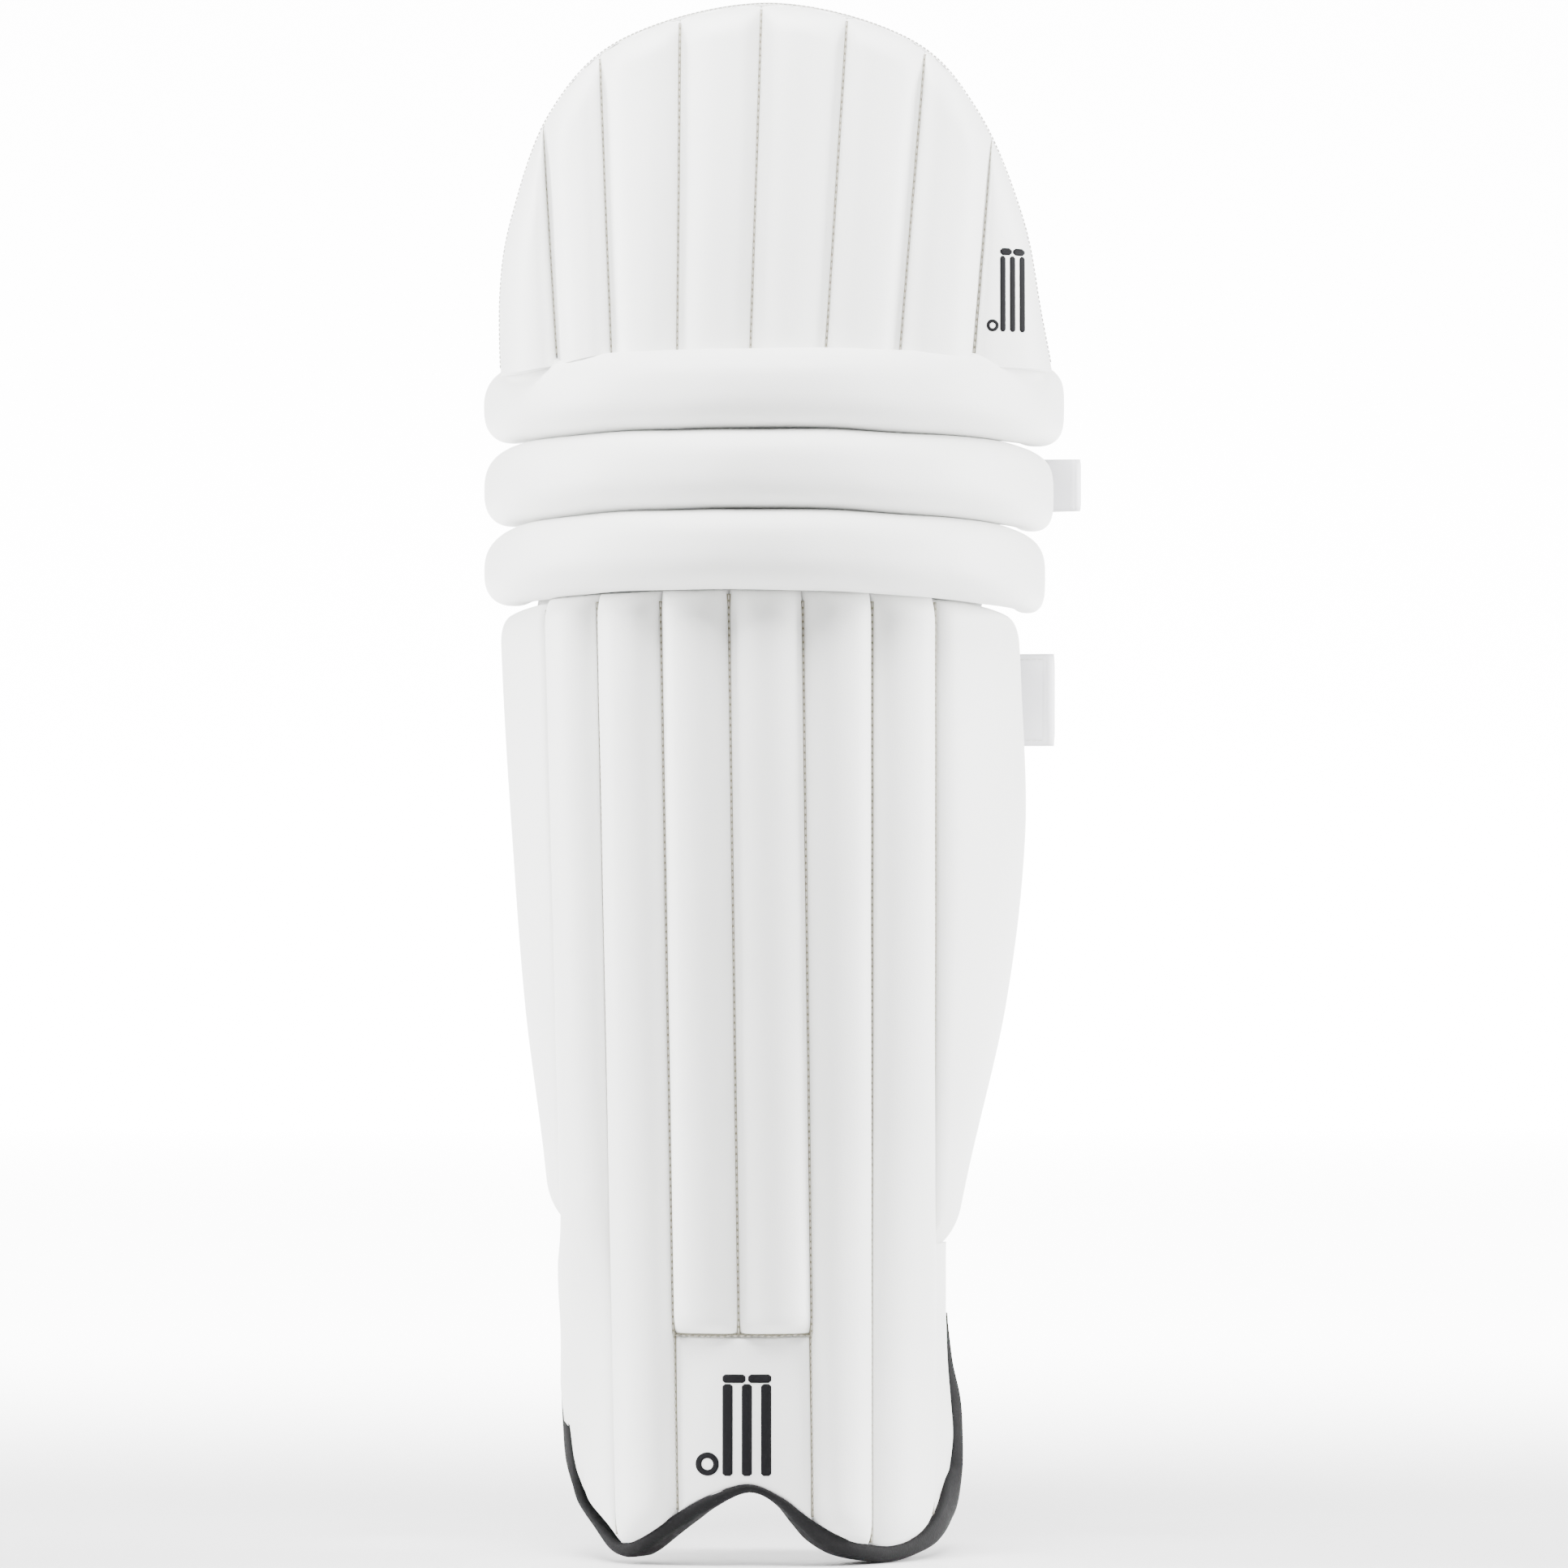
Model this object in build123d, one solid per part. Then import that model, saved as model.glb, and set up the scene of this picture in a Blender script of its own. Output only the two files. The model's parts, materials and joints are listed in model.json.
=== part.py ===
from build123d import *
import os
from math import asin, cos, degrees, hypot, radians, sin, tan

# Left-leg cricket pad: +Z up, front towards -Y, outer side of the leg towards +X.
# The origin is on the axis of the leg at the level of the foot edge.

# ---- overall sizes -------------------------------------------------------------------------
PAD_HEIGHT = 705.0  # foot edge to the crown of the top hat
PAD_WIDTH = 262.0  # across the knee rolls
LEG_DEPTH = 96.0  # leg axis to the back of the front channels, at the knee

# ---- shin ----------------------------------------------------------------------------------
SHIN_CREST = 20.0  # channel thickness at its middle
SHIN_VALLEY = 12.5  # channel thickness at a seam
INSTEP_CREST = 15.0
INSTEP_TOP = 104.0
INNER_WING_THICK = 12.0
OUTER_WING_THICK = 14.0
SIDE_STRIP_THICK = 8.0
COVER = 1.2  # thickness of a cover skin
BACKING = 3.0
LINING = 3.5
BOLSTER = 9.0
BINDING_WIDTH = 7.0

# ---- knee rolls ----------------------------------------------------------------------------
ROLL_FRONT = 38.0  # how far a roll stands out at the front
ROLL_SIDE = 28.0  # and at its ends
ROLL_HEIGHT = 35.5
ROLL_REACH = 88.0  # angle from the front at which a roll starts to round off
KNEE_TILT = 5.0  # how far each knee seam bends

# ---- top hat -------------------------------------------------------------------------------
HAT_CREST = 20.0
HAT_VALLEY = 13.0
HAT_SIDE_CREST = 14.5
HAT_EDGE_WIDTH = 3.0

# ---- straps --------------------------------------------------------------------------------
STRAP_THICK = 2.0
CALF_STRAP_WIDTH = 43.0
KNEE_STRAP_WIDTH = 30.0
ANKLE_STRAP_WIDTH = 28.0
STRAP_PAD_THICK = 6.0
PATCH_THICK = 1.2
CALF_STRAP_HEIGHT = 391.5  # middle of the strap above the foot edge
KNEE_STRAP_HEIGHT = 494.0
ANKLE_STRAP_HEIGHT = 84.0

# ---- clearances ----------------------------------------------------------------------------
GAP = 0.3  # between pieces laid on one another
SEAM_GAP = 0.6  # between bodies along a knee seam

tall = PAD_HEIGHT / 705.0
wide = PAD_WIDTH / 262.0

# The leg side of the shin pieces: height, inner half width, outer half width, front depth.
SHIN_STATIONS = [
    (-12 * tall, 78 * wide, 82 * wide, LEG_DEPTH + 1),
    (55 * tall, 78 * wide, 80 * wide, LEG_DEPTH - 3),
    (110 * tall, 78 * wide, 79 * wide, LEG_DEPTH - 6),
    (170 * tall, 82 * wide, 86 * wide, LEG_DEPTH - 6),
    (250 * tall, 92 * wide, 103 * wide, LEG_DEPTH - 4),
    (330 * tall, 98 * wide, 112 * wide, LEG_DEPTH - 2),
    (400 * tall, 102 * wide, 110 * wide, LEG_DEPTH),
    (465 * tall, 104 * wide, 108 * wide, LEG_DEPTH),
]
# Seams between the shin channels, from the front: where each is at the top and at the foot.
SEAMS_TOP = [-94, -70, -41, -10, 23.5, 55, 84]
SEAMS_FOOT = [-82, -61, -33.5, -4, 29, 55, 84]
# Seams of the top hat, at its base and at its crown.
HAT_SEAMS_BASE = [-88, -63, -33, 0, 34, 67.5, 101]
HAT_SEAMS_CROWN = [-96, -68, -32, 4, 42, 78, 112]

# Outline of the foot edge, from the front: two lobes with a notch between them.
FOOT_EDGE = [
    (-96, 46),
    (-82, 26),
    (-72, 10),
    (-58, 2),
    (-30, 19),
    (-4, 30),
    (30, 10),
    (56, 1),
    (70, 0),
    (84, 4),
    (94, 22),
    (104, 46),
]
# Outline of the top hat, from the front.
HAT_EDGE = [
    (-115, 520),
    (-116, 575),
    (-110, 612),
    (-92, 658),
    (-58, 690),
    (8, 705),
    (72, 690),
    (104, 658),
    (125, 610),
    (134, 565),
    (143, 520),
]
# Knee seams: height at the front, and how much it falls per millimetre going back.
KNEE_BASE = 441.5 * tall
KNEE_SEAMS = [
    (KNEE_BASE, 0.0875),
    (KNEE_BASE + ROLL_HEIGHT, 0.075),
    (KNEE_BASE + 2 * ROLL_HEIGHT, 0.05),
    (KNEE_BASE + 3 * ROLL_HEIGHT, 0.02),
]
KNEE_FRONT_Y = -(LEG_DEPTH + 4 + ROLL_FRONT)
KNEE_HINGE_Y = -60.0
KNEE_INNER, KNEE_OUTER, KNEE_DEPTH = 96 * wide, 118 * wide, LEG_DEPTH + 4
HAT_INNER, HAT_OUTER, HAT_DEPTH = 128 * wide, 152 * wide, LEG_DEPTH + 2
HAT_LEAN = 0.06
HAT_BASE = KNEE_SEAMS[3][0]


def blend_between(table, height):
    """Values of a station table at any height."""
    for low, high in zip(table, table[1:]):
        if height <= high[0]:
            share = (height - low[0]) / (high[0] - low[0])
            return [a + (b - a) * share for a, b in zip(low[1:], high[1:])]
    return list(table[-1][1:])


def shin_plan(height):
    inner, outer, depth = blend_between(SHIN_STATIONS, height)
    return inner, outer, depth, 0.0


def knee_plan(height):
    return KNEE_INNER, KNEE_OUTER, KNEE_DEPTH, 0.0


def hat_plan(height):
    return HAT_INNER, HAT_OUTER, HAT_DEPTH, HAT_LEAN * (height - HAT_BASE)


def point(plan, angle, out, height):
    """A point at an angle from the front, so far out from the leg side of the pad."""
    inner, outer, depth, back = plan(height)
    across = outer if angle > 0 else inner
    turn = radians(angle)
    return (
        (across + out) * sin(turn),
        back - (depth + out) * cos(turn),
        height,
    )


def seam_angle(plan, x, out, height):
    """Angle at which a seam seen at x from the front lies."""
    inner, outer, depth, back = plan(height)
    across = (outer if x > 0 else inner) + out
    return degrees(asin(max(-0.999, min(0.999, x / across))))


def spread(low, high, count):
    return [low + (high - low) * i / (count - 1) for i in range(count)]


def arc(first, middle, last):
    return Edge.make_three_point_arc(Vector(*first), Vector(*middle), Vector(*last))


def line(first, last):
    return Edge.make_line(Vector(*first), Vector(*last))


def curve(points):
    return Edge.make_spline([Vector(*p) for p in points])


def plan_arcs(plan, first, last, out, height):
    """Edges along the plan shape from angle first to last, whichever way that runs."""
    inner, outer, depth, back = plan(height)
    plane = Plane(origin=(0, back, height))
    forward = last > first
    stops = [first, last]
    if min(stops) < 0 < max(stops):
        stops = [first, 0, last]
    edges = []
    for a, b in zip(stops, stops[1:]):
        across = (outer if a + b > 0 else inner) + out
        way = AngularDirection.COUNTER_CLOCKWISE if forward else AngularDirection.CLOCKWISE
        edges.append(Edge.make_ellipse(across, depth + out, plane, a - 90, b - 90, way))
    return edges


def loft_through(wires):
    return Solid.make_loft(wires, ruled=True)


def pad_band(plan, heights, start, end, low, high, crest=None):
    """A curved panel: angles from start(z) to end(z), from low to high out, fuller in the middle."""
    wires = []
    for z in heights:
        first, last = start(z), end(z)
        front = plan_arcs(plan, first, last, high, z)
        if crest is not None:
            middle = point(plan, (first + last) / 2, crest, z)
            front = [arc(point(plan, first, high, z), middle, point(plan, last, high, z))]
        rear = plan_arcs(plan, last, first, low, z)
        right = line(point(plan, last, high, z), point(plan, last, low, z))
        left = line(point(plan, first, low, z), point(plan, first, high, z))
        wires.append(Wire(front + [right] + rear + [left]))
    return loft_through(wires)


def channel_cover(plan, heights, seams, low, valley, crests):
    """A skin over several channels, drawn in to the valley height at each seam."""
    wires = []
    for z in heights:
        angles = [seam(z) for seam in seams]
        edges = []
        for k in range(len(angles) - 1):
            middle = (angles[k] + angles[k + 1]) / 2
            edges.append(
                arc(
                    point(plan, angles[k], valley, z),
                    point(plan, middle, crests[k], z),
                    point(plan, angles[k + 1], valley, z),
                )
            )
        edges.append(
            line(point(plan, angles[-1], valley, z), point(plan, angles[-1], low, z))
        )
        for k in reversed(range(len(angles) - 1)):
            middle = (angles[k] + angles[k + 1]) / 2
            edges.append(
                arc(
                    point(plan, angles[k + 1], low, z),
                    point(plan, middle, crests[k] - (valley - low), z),
                    point(plan, angles[k], low, z),
                )
            )
        edges.append(
            line(point(plan, angles[0], low, z), point(plan, angles[0], valley, z))
        )
        wires.append(Wire(edges))
    return loft_through(wires)


def seam_height(k, y):
    height, fall = KNEE_SEAMS[k]
    return height - fall * (y - KNEE_FRONT_Y)


def seam_limit(k, side, y):
    """Edge of the body below (side -1) or above (side +1) knee seam k, opened behind the hinge."""
    wedge = max(0.0, y - KNEE_HINGE_Y) * tan(radians(KNEE_TILT / 2 + 0.3))
    return seam_height(k, y) + side * (SEAM_GAP / 2 + wedge)


def beyond_seam(k, side):
    """Everything on the far side of a knee seam, to be cut off a body."""
    far = seam_height(k, 0) - side * 600
    stops = [-320, KNEE_HINGE_Y, 320]
    outline = [(0, y, seam_limit(k, side, y)) for y in stops]
    outline += [(0, 320, far), (0, -320, far)]
    face = Face(Wire.make_polygon([Vector(*p) for p in outline], close=True))
    return extrude(face.moved(Location((-400, 0, 0))), 800, dir=(1, 0, 0))


def inset(points, amount):
    """The same open outline moved to its left by an amount."""
    moved = []
    for i, (x, z) in enumerate(points):
        before = points[max(i - 1, 0)]
        after = points[min(i + 1, len(points) - 1)]
        dx, dz = after[0] - before[0], after[1] - before[1]
        size = hypot(dx, dz)
        moved.append((x - dz / size * amount, z + dx / size * amount))
    return moved


def prism(edge_points, closing):
    """A block right through the pad, bounded by a smooth edge and straight closing sides."""
    start, end = edge_points[0], edge_points[-1]
    corners = [end] + closing + [start]
    edges = [curve([(x, 0, z) for x, z in edge_points])]
    for a, b in zip(corners, corners[1:]):
        edges.append(line((a[0], 0, a[1]), (b[0], 0, b[1])))
    face = Face(Wire(edges))
    return extrude(face.moved(Location((0, -300, 0))), 600, dir=(0, 1, 0))


def ribbon(path, bottom, top, thickness, shift=0.0):
    """A strap standing on edge along path(z), a list of points seen from above."""
    wires = []
    for z in (bottom, top):
        middle = Edge.make_spline([Vector(x, y, z) for x, y in path(z)])
        sides = ([], [])
        for share in spread(0, 1, 15):
            here, along = middle @ share, middle % share
            size = hypot(along.X, along.Y)
            nx, ny = -along.Y / size, along.X / size
            for side, offset in zip(sides, (shift + thickness / 2, shift - thickness / 2)):
                side.append((here.X + nx * offset, here.Y + ny * offset, z))
        left, right = sides
        edges = [curve(left), line(left[-1], right[-1])]
        edges += [curve(right[::-1]), line(right[0], left[0])]
        wires.append(Wire(edges))
    return Solid.make_loft(wires, ruled=True)


def only_solids(shape):
    solids = sorted(shape.solids(), key=lambda s: -s.volume)
    return solids[0]


def save(name, shape):
    export_step(only_solids(shape), "parts/" + name + ".step")


# ============================================================================================
# Shin
# ============================================================================================
shin_heights = [station[0] for station in SHIN_STATIONS]
top_of_shin = KNEE_SEAMS[0][0]
above_shin = beyond_seam(0, -1)
WING_FOOT = 139 * tall
INNER_WING_FOOT = 157 * tall
INNER_EDGE = -86.0
OUTER_EDGE = 79.0


def shin_seam(k):
    """Angle of shin seam k as it runs up the pad."""

    def angle(z):
        share = min(1.0, max(0.0, z / top_of_shin))
        x = (SEAMS_FOOT[k] + (SEAMS_TOP[k] - SEAMS_FOOT[k]) * share) * wide
        found = seam_angle(shin_plan, x, SHIN_VALLEY, z)
        if k == 0:
            low = max(0.0, min(1.0, (INNER_WING_FOOT - z) / (60 * tall)))
            found += (INNER_EDGE + 0.3 - found) * low
        return found

    return angle


shin_seams = [shin_seam(k) for k in range(7)]


def beside(angle, degrees_more):
    return lambda z: angle(z) + degrees_more


def fixed(value):
    return lambda z: value


foot_line = [(x * wide, z * tall) for x, z in FOOT_EDGE]
foot_inner = inset(foot_line, BINDING_WIDTH)
foot_cut = [(x, z + GAP) for x, z in foot_inner]
foot_shut = [(300, 60), (300, -100), (-300, -100), (-300, 60)]
below_foot = prism(foot_line, foot_shut)
below_face = prism(foot_cut, foot_shut)


def trim_shin(shape):
    return only_solids(shape - above_shin - below_face)


def all_above(height):
    return Pos(0, 0, height + 450) * Box(900, 900, 900)


def all_below(height):
    return Pos(0, 0, height - 450) * Box(900, 900, 900)


# The two middle channels stop above the instep panel.
instep_low = pad_band(
    shin_plan,
    shin_heights,
    beside(shin_seams[2], -0.2),
    beside(shin_seams[4], 0.2),
    -1.0,
    SHIN_CREST + 15,
)
instep_low = instep_low - all_above(INSTEP_TOP * tall)
face_crests = [SHIN_CREST] * 6
face_cover = channel_cover(
    shin_plan, shin_heights, shin_seams, SHIN_VALLEY - COVER, SHIN_VALLEY, face_crests
)
face_cover = trim_shin(face_cover - instep_low)
save("shin_face_cover", face_cover)

ROD_BACK = 2.5  # the first channel turns with the side of the leg, so its rod lies further out
for k in range(6):
    rod = pad_band(
        shin_plan,
        shin_heights,
        beside(shin_seams[k], 0.5),
        beside(shin_seams[k + 1], -0.5),
        ROD_BACK if k == 0 else GAP,
        SHIN_VALLEY - COVER - 0.5,
        SHIN_CREST - COVER - 0.7,
    )
    if k in (2, 3):
        rod = rod - instep_low
    save("shin_rod_%d" % (k + 1), trim_shin(rod))

instep_heights = shin_heights
instep_blank = pad_band(
    shin_plan,
    instep_heights,
    beside(shin_seams[2], 0.2),
    beside(shin_seams[4], -0.2),
    GAP,
    SHIN_VALLEY,
    INSTEP_CREST,
)
instep_core = pad_band(
    shin_plan,
    instep_heights,
    beside(shin_seams[2], 0.9),
    beside(shin_seams[4], -0.9),
    -5.0,
    SHIN_VALLEY - COVER,
    INSTEP_CREST - COVER,
)
above_instep = all_above(INSTEP_TOP * tall - GAP)
inside_instep = all_above(INSTEP_TOP * tall - 2)
save("instep_panel_cover", trim_shin(instep_blank - above_instep - instep_core))
instep_foam = pad_band(
    shin_plan,
    instep_heights,
    beside(shin_seams[2], 1.2),
    beside(shin_seams[4], -1.2),
    GAP,
    SHIN_VALLEY - COVER - GAP,
    INSTEP_CREST - COVER - GAP,
)
save("instep_foam", trim_shin(instep_foam - inside_instep))

# Black binding: a rim round the foot edge and up both sides.
rim_heights = shin_heights
rim_outer = pad_band(
    shin_plan,
    rim_heights,
    fixed(INNER_EDGE - 5),
    fixed(OUTER_EDGE + 6),
    -BACKING - LINING,
    SHIN_VALLEY,
)
rim_inner = pad_band(
    shin_plan,
    rim_heights,
    fixed(INNER_EDGE - 0.3),
    fixed(OUTER_EDGE + 0.3),
    -BACKING - LINING - 5,
    SHIN_CREST + 10,
)
above_face = prism(foot_inner, [(300, 60), (300, 900), (-300, 900), (-300, 60)])
rim_top = all_above(106 * tall)
save("edge_binding", rim_outer - rim_top - below_foot - (rim_inner & above_face))

strip_heights = shin_heights
above_strip = all_above(WING_FOOT - GAP)
side_strip = pad_band(
    shin_plan,
    strip_heights,
    beside(shin_seams[6], 0.4),
    lambda z: max(OUTER_EDGE, shin_seams[6](z) + 3),
    GAP,
    SIDE_STRIP_THICK,
    SIDE_STRIP_THICK + 2,
)
save("side_strip", trim_shin(side_strip - above_strip))
backing = pad_band(
    shin_plan, shin_heights, fixed(INNER_EDGE), beside(shin_seams[6], 0), -BACKING, 0.0
)
save("shin_backing", trim_shin(backing))
side_backing = pad_band(
    shin_plan, strip_heights, beside(shin_seams[6], 0.4), fixed(OUTER_EDGE), -BACKING, 0.0
)
save("side_strip_backing", trim_shin(side_backing - above_strip))
lining = pad_band(
    shin_plan,
    shin_heights,
    fixed(INNER_EDGE + 2),
    beside(shin_seams[6], -1),
    -BACKING - GAP - LINING,
    -BACKING - GAP,
)
save("shin_lining", trim_shin(lining))

BOLSTER_FOOT, BOLSTER_TOP = 135 * tall, 405 * tall
bolster_out = -BACKING - LINING - 2 * GAP - 1.5
for name, first, last in (("inner", -58, -24), ("outer", 18, 48)):
    wires_low = pad_band(
        shin_plan,
        shin_heights,
        fixed(first),
        fixed(last),
        bolster_out - BOLSTER,
        bolster_out,
    )
    bolster = wires_low - all_below(BOLSTER_FOOT) - all_above(BOLSTER_TOP)
    save("shin_bolster_" + name, bolster)

# Wings.
# How far round each wing reaches, in degrees, at the same heights as SHIN_STATIONS.
INNER_REACH = [88, 88, 90, 102, 122, 132, 132, 124]
OUTER_REACH = [76, 76, 76, 88, 104, 110, 108, 100]


def inner_reach(z):
    return -INNER_REACH[shin_heights.index(z)]


def outer_reach(z):
    return OUTER_REACH[shin_heights.index(z)]


wing_layers = (
    ("inner_wing_cover", INNER_WING_THICK - COVER, INNER_WING_THICK, 0.0),
    ("inner_wing_foam", 3 * GAP, INNER_WING_THICK - COVER - GAP, 0.6),
    ("inner_wing_lining", -BACKING, 0.0, 0.0),
)
for name, low, high, short in wing_layers:
    layer = pad_band(
        shin_plan,
        shin_heights,
        beside(inner_reach, short),
        beside(shin_seams[0], -0.5) if low > -1 else fixed(INNER_EDGE - 0.4),
        low,
        high,
    )
    save(name, layer - above_shin - all_below(INNER_WING_FOOT))

outer_layers = (
    ("outer_wing_cover", OUTER_WING_THICK - COVER, OUTER_WING_THICK, 0.0),
    ("outer_wing_foam", GAP, OUTER_WING_THICK - COVER - GAP, 0.6),
    ("outer_wing_lining", -BACKING, 0.0, 0.0),
)
for name, low, high, short in outer_layers:
    layer = pad_band(
        shin_plan,
        shin_heights,
        beside(shin_seams[6], 1.4),
        beside(outer_reach, -short),
        low,
        high,
    )
    save(name, layer - above_shin - all_below(WING_FOOT))

# ============================================================================================
# Knee rolls
# ============================================================================================


def knee_roll(k, shrink, back):
    """A knee roll between seams k and k+1, its skin taken in by shrink and its back at back."""
    wires = []
    ends = [-ROLL_REACH - 6, -ROLL_REACH, -66, -44, -22, 0, 22, 44, 66, ROLL_REACH, ROLL_REACH + 6]
    for angle in ends:
        at_end = abs(angle) > ROLL_REACH
        turn = radians(angle)
        side_share = min(1.0, abs(sin(turn))) ** 2
        out = ROLL_FRONT + (ROLL_SIDE - ROLL_FRONT) * side_share
        squeeze = 9.0 if at_end else 0.0
        if at_end:
            out *= 0.55
            angle = angle - shrink * (0.5 if angle > 0 else -0.5)
        out -= shrink

        def level(side, here):
            y = point(knee_plan, angle, here, 0)[1]
            if side < 0:
                return seam_limit(k, 1, y) + shrink + squeeze
            return seam_limit(k + 1, -1, y) - shrink - squeeze

        rise = (level(1, 0) - level(-1, 0)) / 2
        corner = out - min(0.9 * rise, 0.75 * out)
        rear_low = point(knee_plan, angle, back, level(-1, back))
        rear_high = point(knee_plan, angle, back, level(1, back))
        front_low = point(knee_plan, angle, corner, level(-1, corner))
        front_high = point(knee_plan, angle, corner, level(1, corner))
        nose_z = (front_low[2] + front_high[2]) / 2
        nose = point(knee_plan, angle, out, nose_z)
        edges = [
            line(rear_low, rear_high),
            line(rear_high, front_high),
            arc(front_high, nose, front_low),
            line(front_low, rear_low),
        ]
        wires.append(Wire(edges))
    return Solid.make_loft(wires, ruled=False) - beyond_seam(k, 1) - beyond_seam(k + 1, -1)


roll_names = ("lower", "middle", "upper")
for k, name in enumerate(roll_names):
    skin = knee_roll(k, 0.0, 0.0)
    hollow = knee_roll(k, COVER, -3.0)
    save(name + "_knee_roll_cover", skin - hollow)
    save(name + "_knee_roll_core", knee_roll(k, COVER + 2 * GAP, GAP))
    knee_heights = [seam_height(k, 0) - 40, seam_height(k + 1, 0) + 40]
    sheet = pad_band(
        knee_plan, knee_heights, fixed(-ROLL_REACH), fixed(ROLL_REACH), -LINING - GAP, -GAP
    )
    save(name + "_knee_roll_lining", sheet - beyond_seam(k, 1) - beyond_seam(k + 1, -1))

cup = pad_band(
    knee_plan,
    [seam_height(1, 0) - 40, seam_height(2, 0) + 40],
    fixed(-34),
    fixed(34),
    -LINING - 2 * GAP - BOLSTER,
    -LINING - 2 * GAP,
)
save("knee_cup_cushion", cup - beyond_seam(1, 1) - beyond_seam(2, -1))

# ============================================================================================
# Top hat
# ============================================================================================
hat_heights = [z * tall for z in (525, 570, 620, 665, 712)]
below_hat = beyond_seam(3, 1)
hat_line = [(x * wide, z * tall) for x, z in HAT_EDGE]
hat_inner = inset(hat_line, -HAT_EDGE_WIDTH)
hat_cut = inset(hat_line, -HAT_EDGE_WIDTH - GAP)
hat_shut = [(400, 500), (400, 900), (-400, 900), (-400, 500)]
beyond_hat = prism(hat_line, hat_shut)
beyond_face = prism(hat_cut, hat_shut)
HAT_FIRST, HAT_LAST = -66.0, 69.0


def hat_seam(k):
    def angle(z):
        share = (z / tall - 550) / 125
        x = HAT_SEAMS_BASE[k] + (HAT_SEAMS_CROWN[k] - HAT_SEAMS_BASE[k]) * share
        return seam_angle(hat_plan, x * wide, HAT_VALLEY, z)

    return angle


hat_seams = [fixed(HAT_FIRST)] + [hat_seam(k) for k in range(7)] + [fixed(HAT_LAST)]
hat_crests = [HAT_CREST] * 7 + [HAT_SIDE_CREST]
hat_cover = channel_cover(
    hat_plan, hat_heights, hat_seams, HAT_VALLEY - COVER, HAT_VALLEY, hat_crests
)
save("top_hat_face_cover", hat_cover - below_hat - beyond_face)
for k in range(8):
    filler = pad_band(
        hat_plan,
        hat_heights,
        beside(hat_seams[k], 0.4),
        beside(hat_seams[k + 1], -0.4),
        GAP,
        HAT_VALLEY - COVER - 0.5,
        hat_crests[k] - COVER - 0.7,
    )
    name = "top_hat_rod_%d" % (k + 1) if k < 7 else "top_hat_side_foam"
    save(name, filler - below_hat - beyond_face)

for name, low, high in (
    ("top_hat_backing", -BACKING, 0.0),
    ("top_hat_lining", -BACKING - GAP - LINING, -BACKING - GAP),
):
    layer = pad_band(
        hat_plan, hat_heights, fixed(HAT_FIRST), fixed(HAT_LAST), low, high
    )
    save(name, layer - below_hat - beyond_face)

hat_rim = pad_band(
    hat_plan,
    hat_heights,
    fixed(HAT_FIRST),
    fixed(HAT_LAST),
    -BACKING - GAP - LINING,
    HAT_VALLEY,
)
rim_open = prism(hat_inner, [(400, 500), (400, 100), (-400, 100), (-400, 500)])
save("top_hat_edge_binding", hat_rim - below_hat - beyond_hat - rim_open)

# ============================================================================================
# Straps
# ============================================================================================


def around(plan, z, places):
    """Strap path points from angles and distances out."""
    return [point(plan, angle, out, z)[:2] for angle, out in places]


def strap_levels(middle, width):
    return middle * tall - width / 2, middle * tall + width / 2


# Calf strap: sewn inside the rear edge of the outer wing, folded, then round the back of the leg
# and on to the inner wing.
patch_base = INNER_WING_THICK + GAP
strap_face = patch_base + 2 * (PATCH_THICK + GAP)
strap_middle = strap_face + 0.2 + STRAP_THICK / 2
calf_low, calf_high = strap_levels(CALF_STRAP_HEIGHT, CALF_STRAP_WIDTH)
FOLD_X = 138.0 * wide


def calf_anchor_path(z):
    sewn = -BACKING - 2.0
    places = around(shin_plan, z, [(80, sewn), (93, sewn), (105, sewn - 0.6), (111.5, sewn - 1.5)])
    return places + [(101 * wide, 39), (107 * wide, 44.5), (118 * wide, 47), (130 * wide, 44), (FOLD_X, 39)]


def calf_path(z):
    free = [(FOLD_X, 43.5), (127 * wide, 56), (104 * wide, 79), (60 * wide, 101), (0, LEG_DEPTH + 17)]
    return free + around(
        shin_plan,
        z,
        [(-152, strap_middle + 1.5), (-131, strap_middle), (-119, strap_middle), (-107, strap_middle)],
    )


save("calf_strap_anchor", ribbon(calf_anchor_path, calf_low, calf_high, STRAP_THICK))
save("calf_strap_webbing", ribbon(calf_path, calf_low, calf_high, STRAP_THICK))
calf_patch_levels = [calf_low + 4, 400 * tall, calf_high - 4]
save(
    "calf_loop_patch",
    pad_band(shin_plan, calf_patch_levels, fixed(-128), fixed(-108), patch_base, patch_base + PATCH_THICK),
)
save(
    "calf_hook_patch",
    pad_band(
        shin_plan,
        calf_patch_levels,
        fixed(-128),
        fixed(-109),
        strap_face - GAP - PATCH_THICK,
        strap_face - GAP,
    ),
)


def strap_cushion(path, first, last, bottom, top):
    """A cushion on the leg side of a strap, over its middle."""

    def middle_path(z):
        whole = Edge.make_spline([Vector(x, y, z) for x, y in path(z)])
        stops = [whole @ share for share in spread(first, last, 5)]
        return [(p.X, p.Y) for p in stops]

    shift = STRAP_THICK / 2 + GAP + STRAP_PAD_THICK / 2
    return ribbon(middle_path, bottom + 3, top - 3, STRAP_PAD_THICK, shift)


save("calf_strap_pad", strap_cushion(calf_path, 0.28, 0.66, calf_low, calf_high))

# Knee strap: the same on the middle knee roll.
knee_low, knee_high = strap_levels(KNEE_STRAP_HEIGHT, KNEE_STRAP_WIDTH)
KNEE_FOLD_X = 150.0 * wide


def knee_anchor_path(z):
    places = around(knee_plan, z, [(76, -LINING - 1.9), (88, -LINING - 1.9)])
    return places + [(122 * wide, 22), (136 * wide, 22), (KNEE_FOLD_X, 20)]


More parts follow.
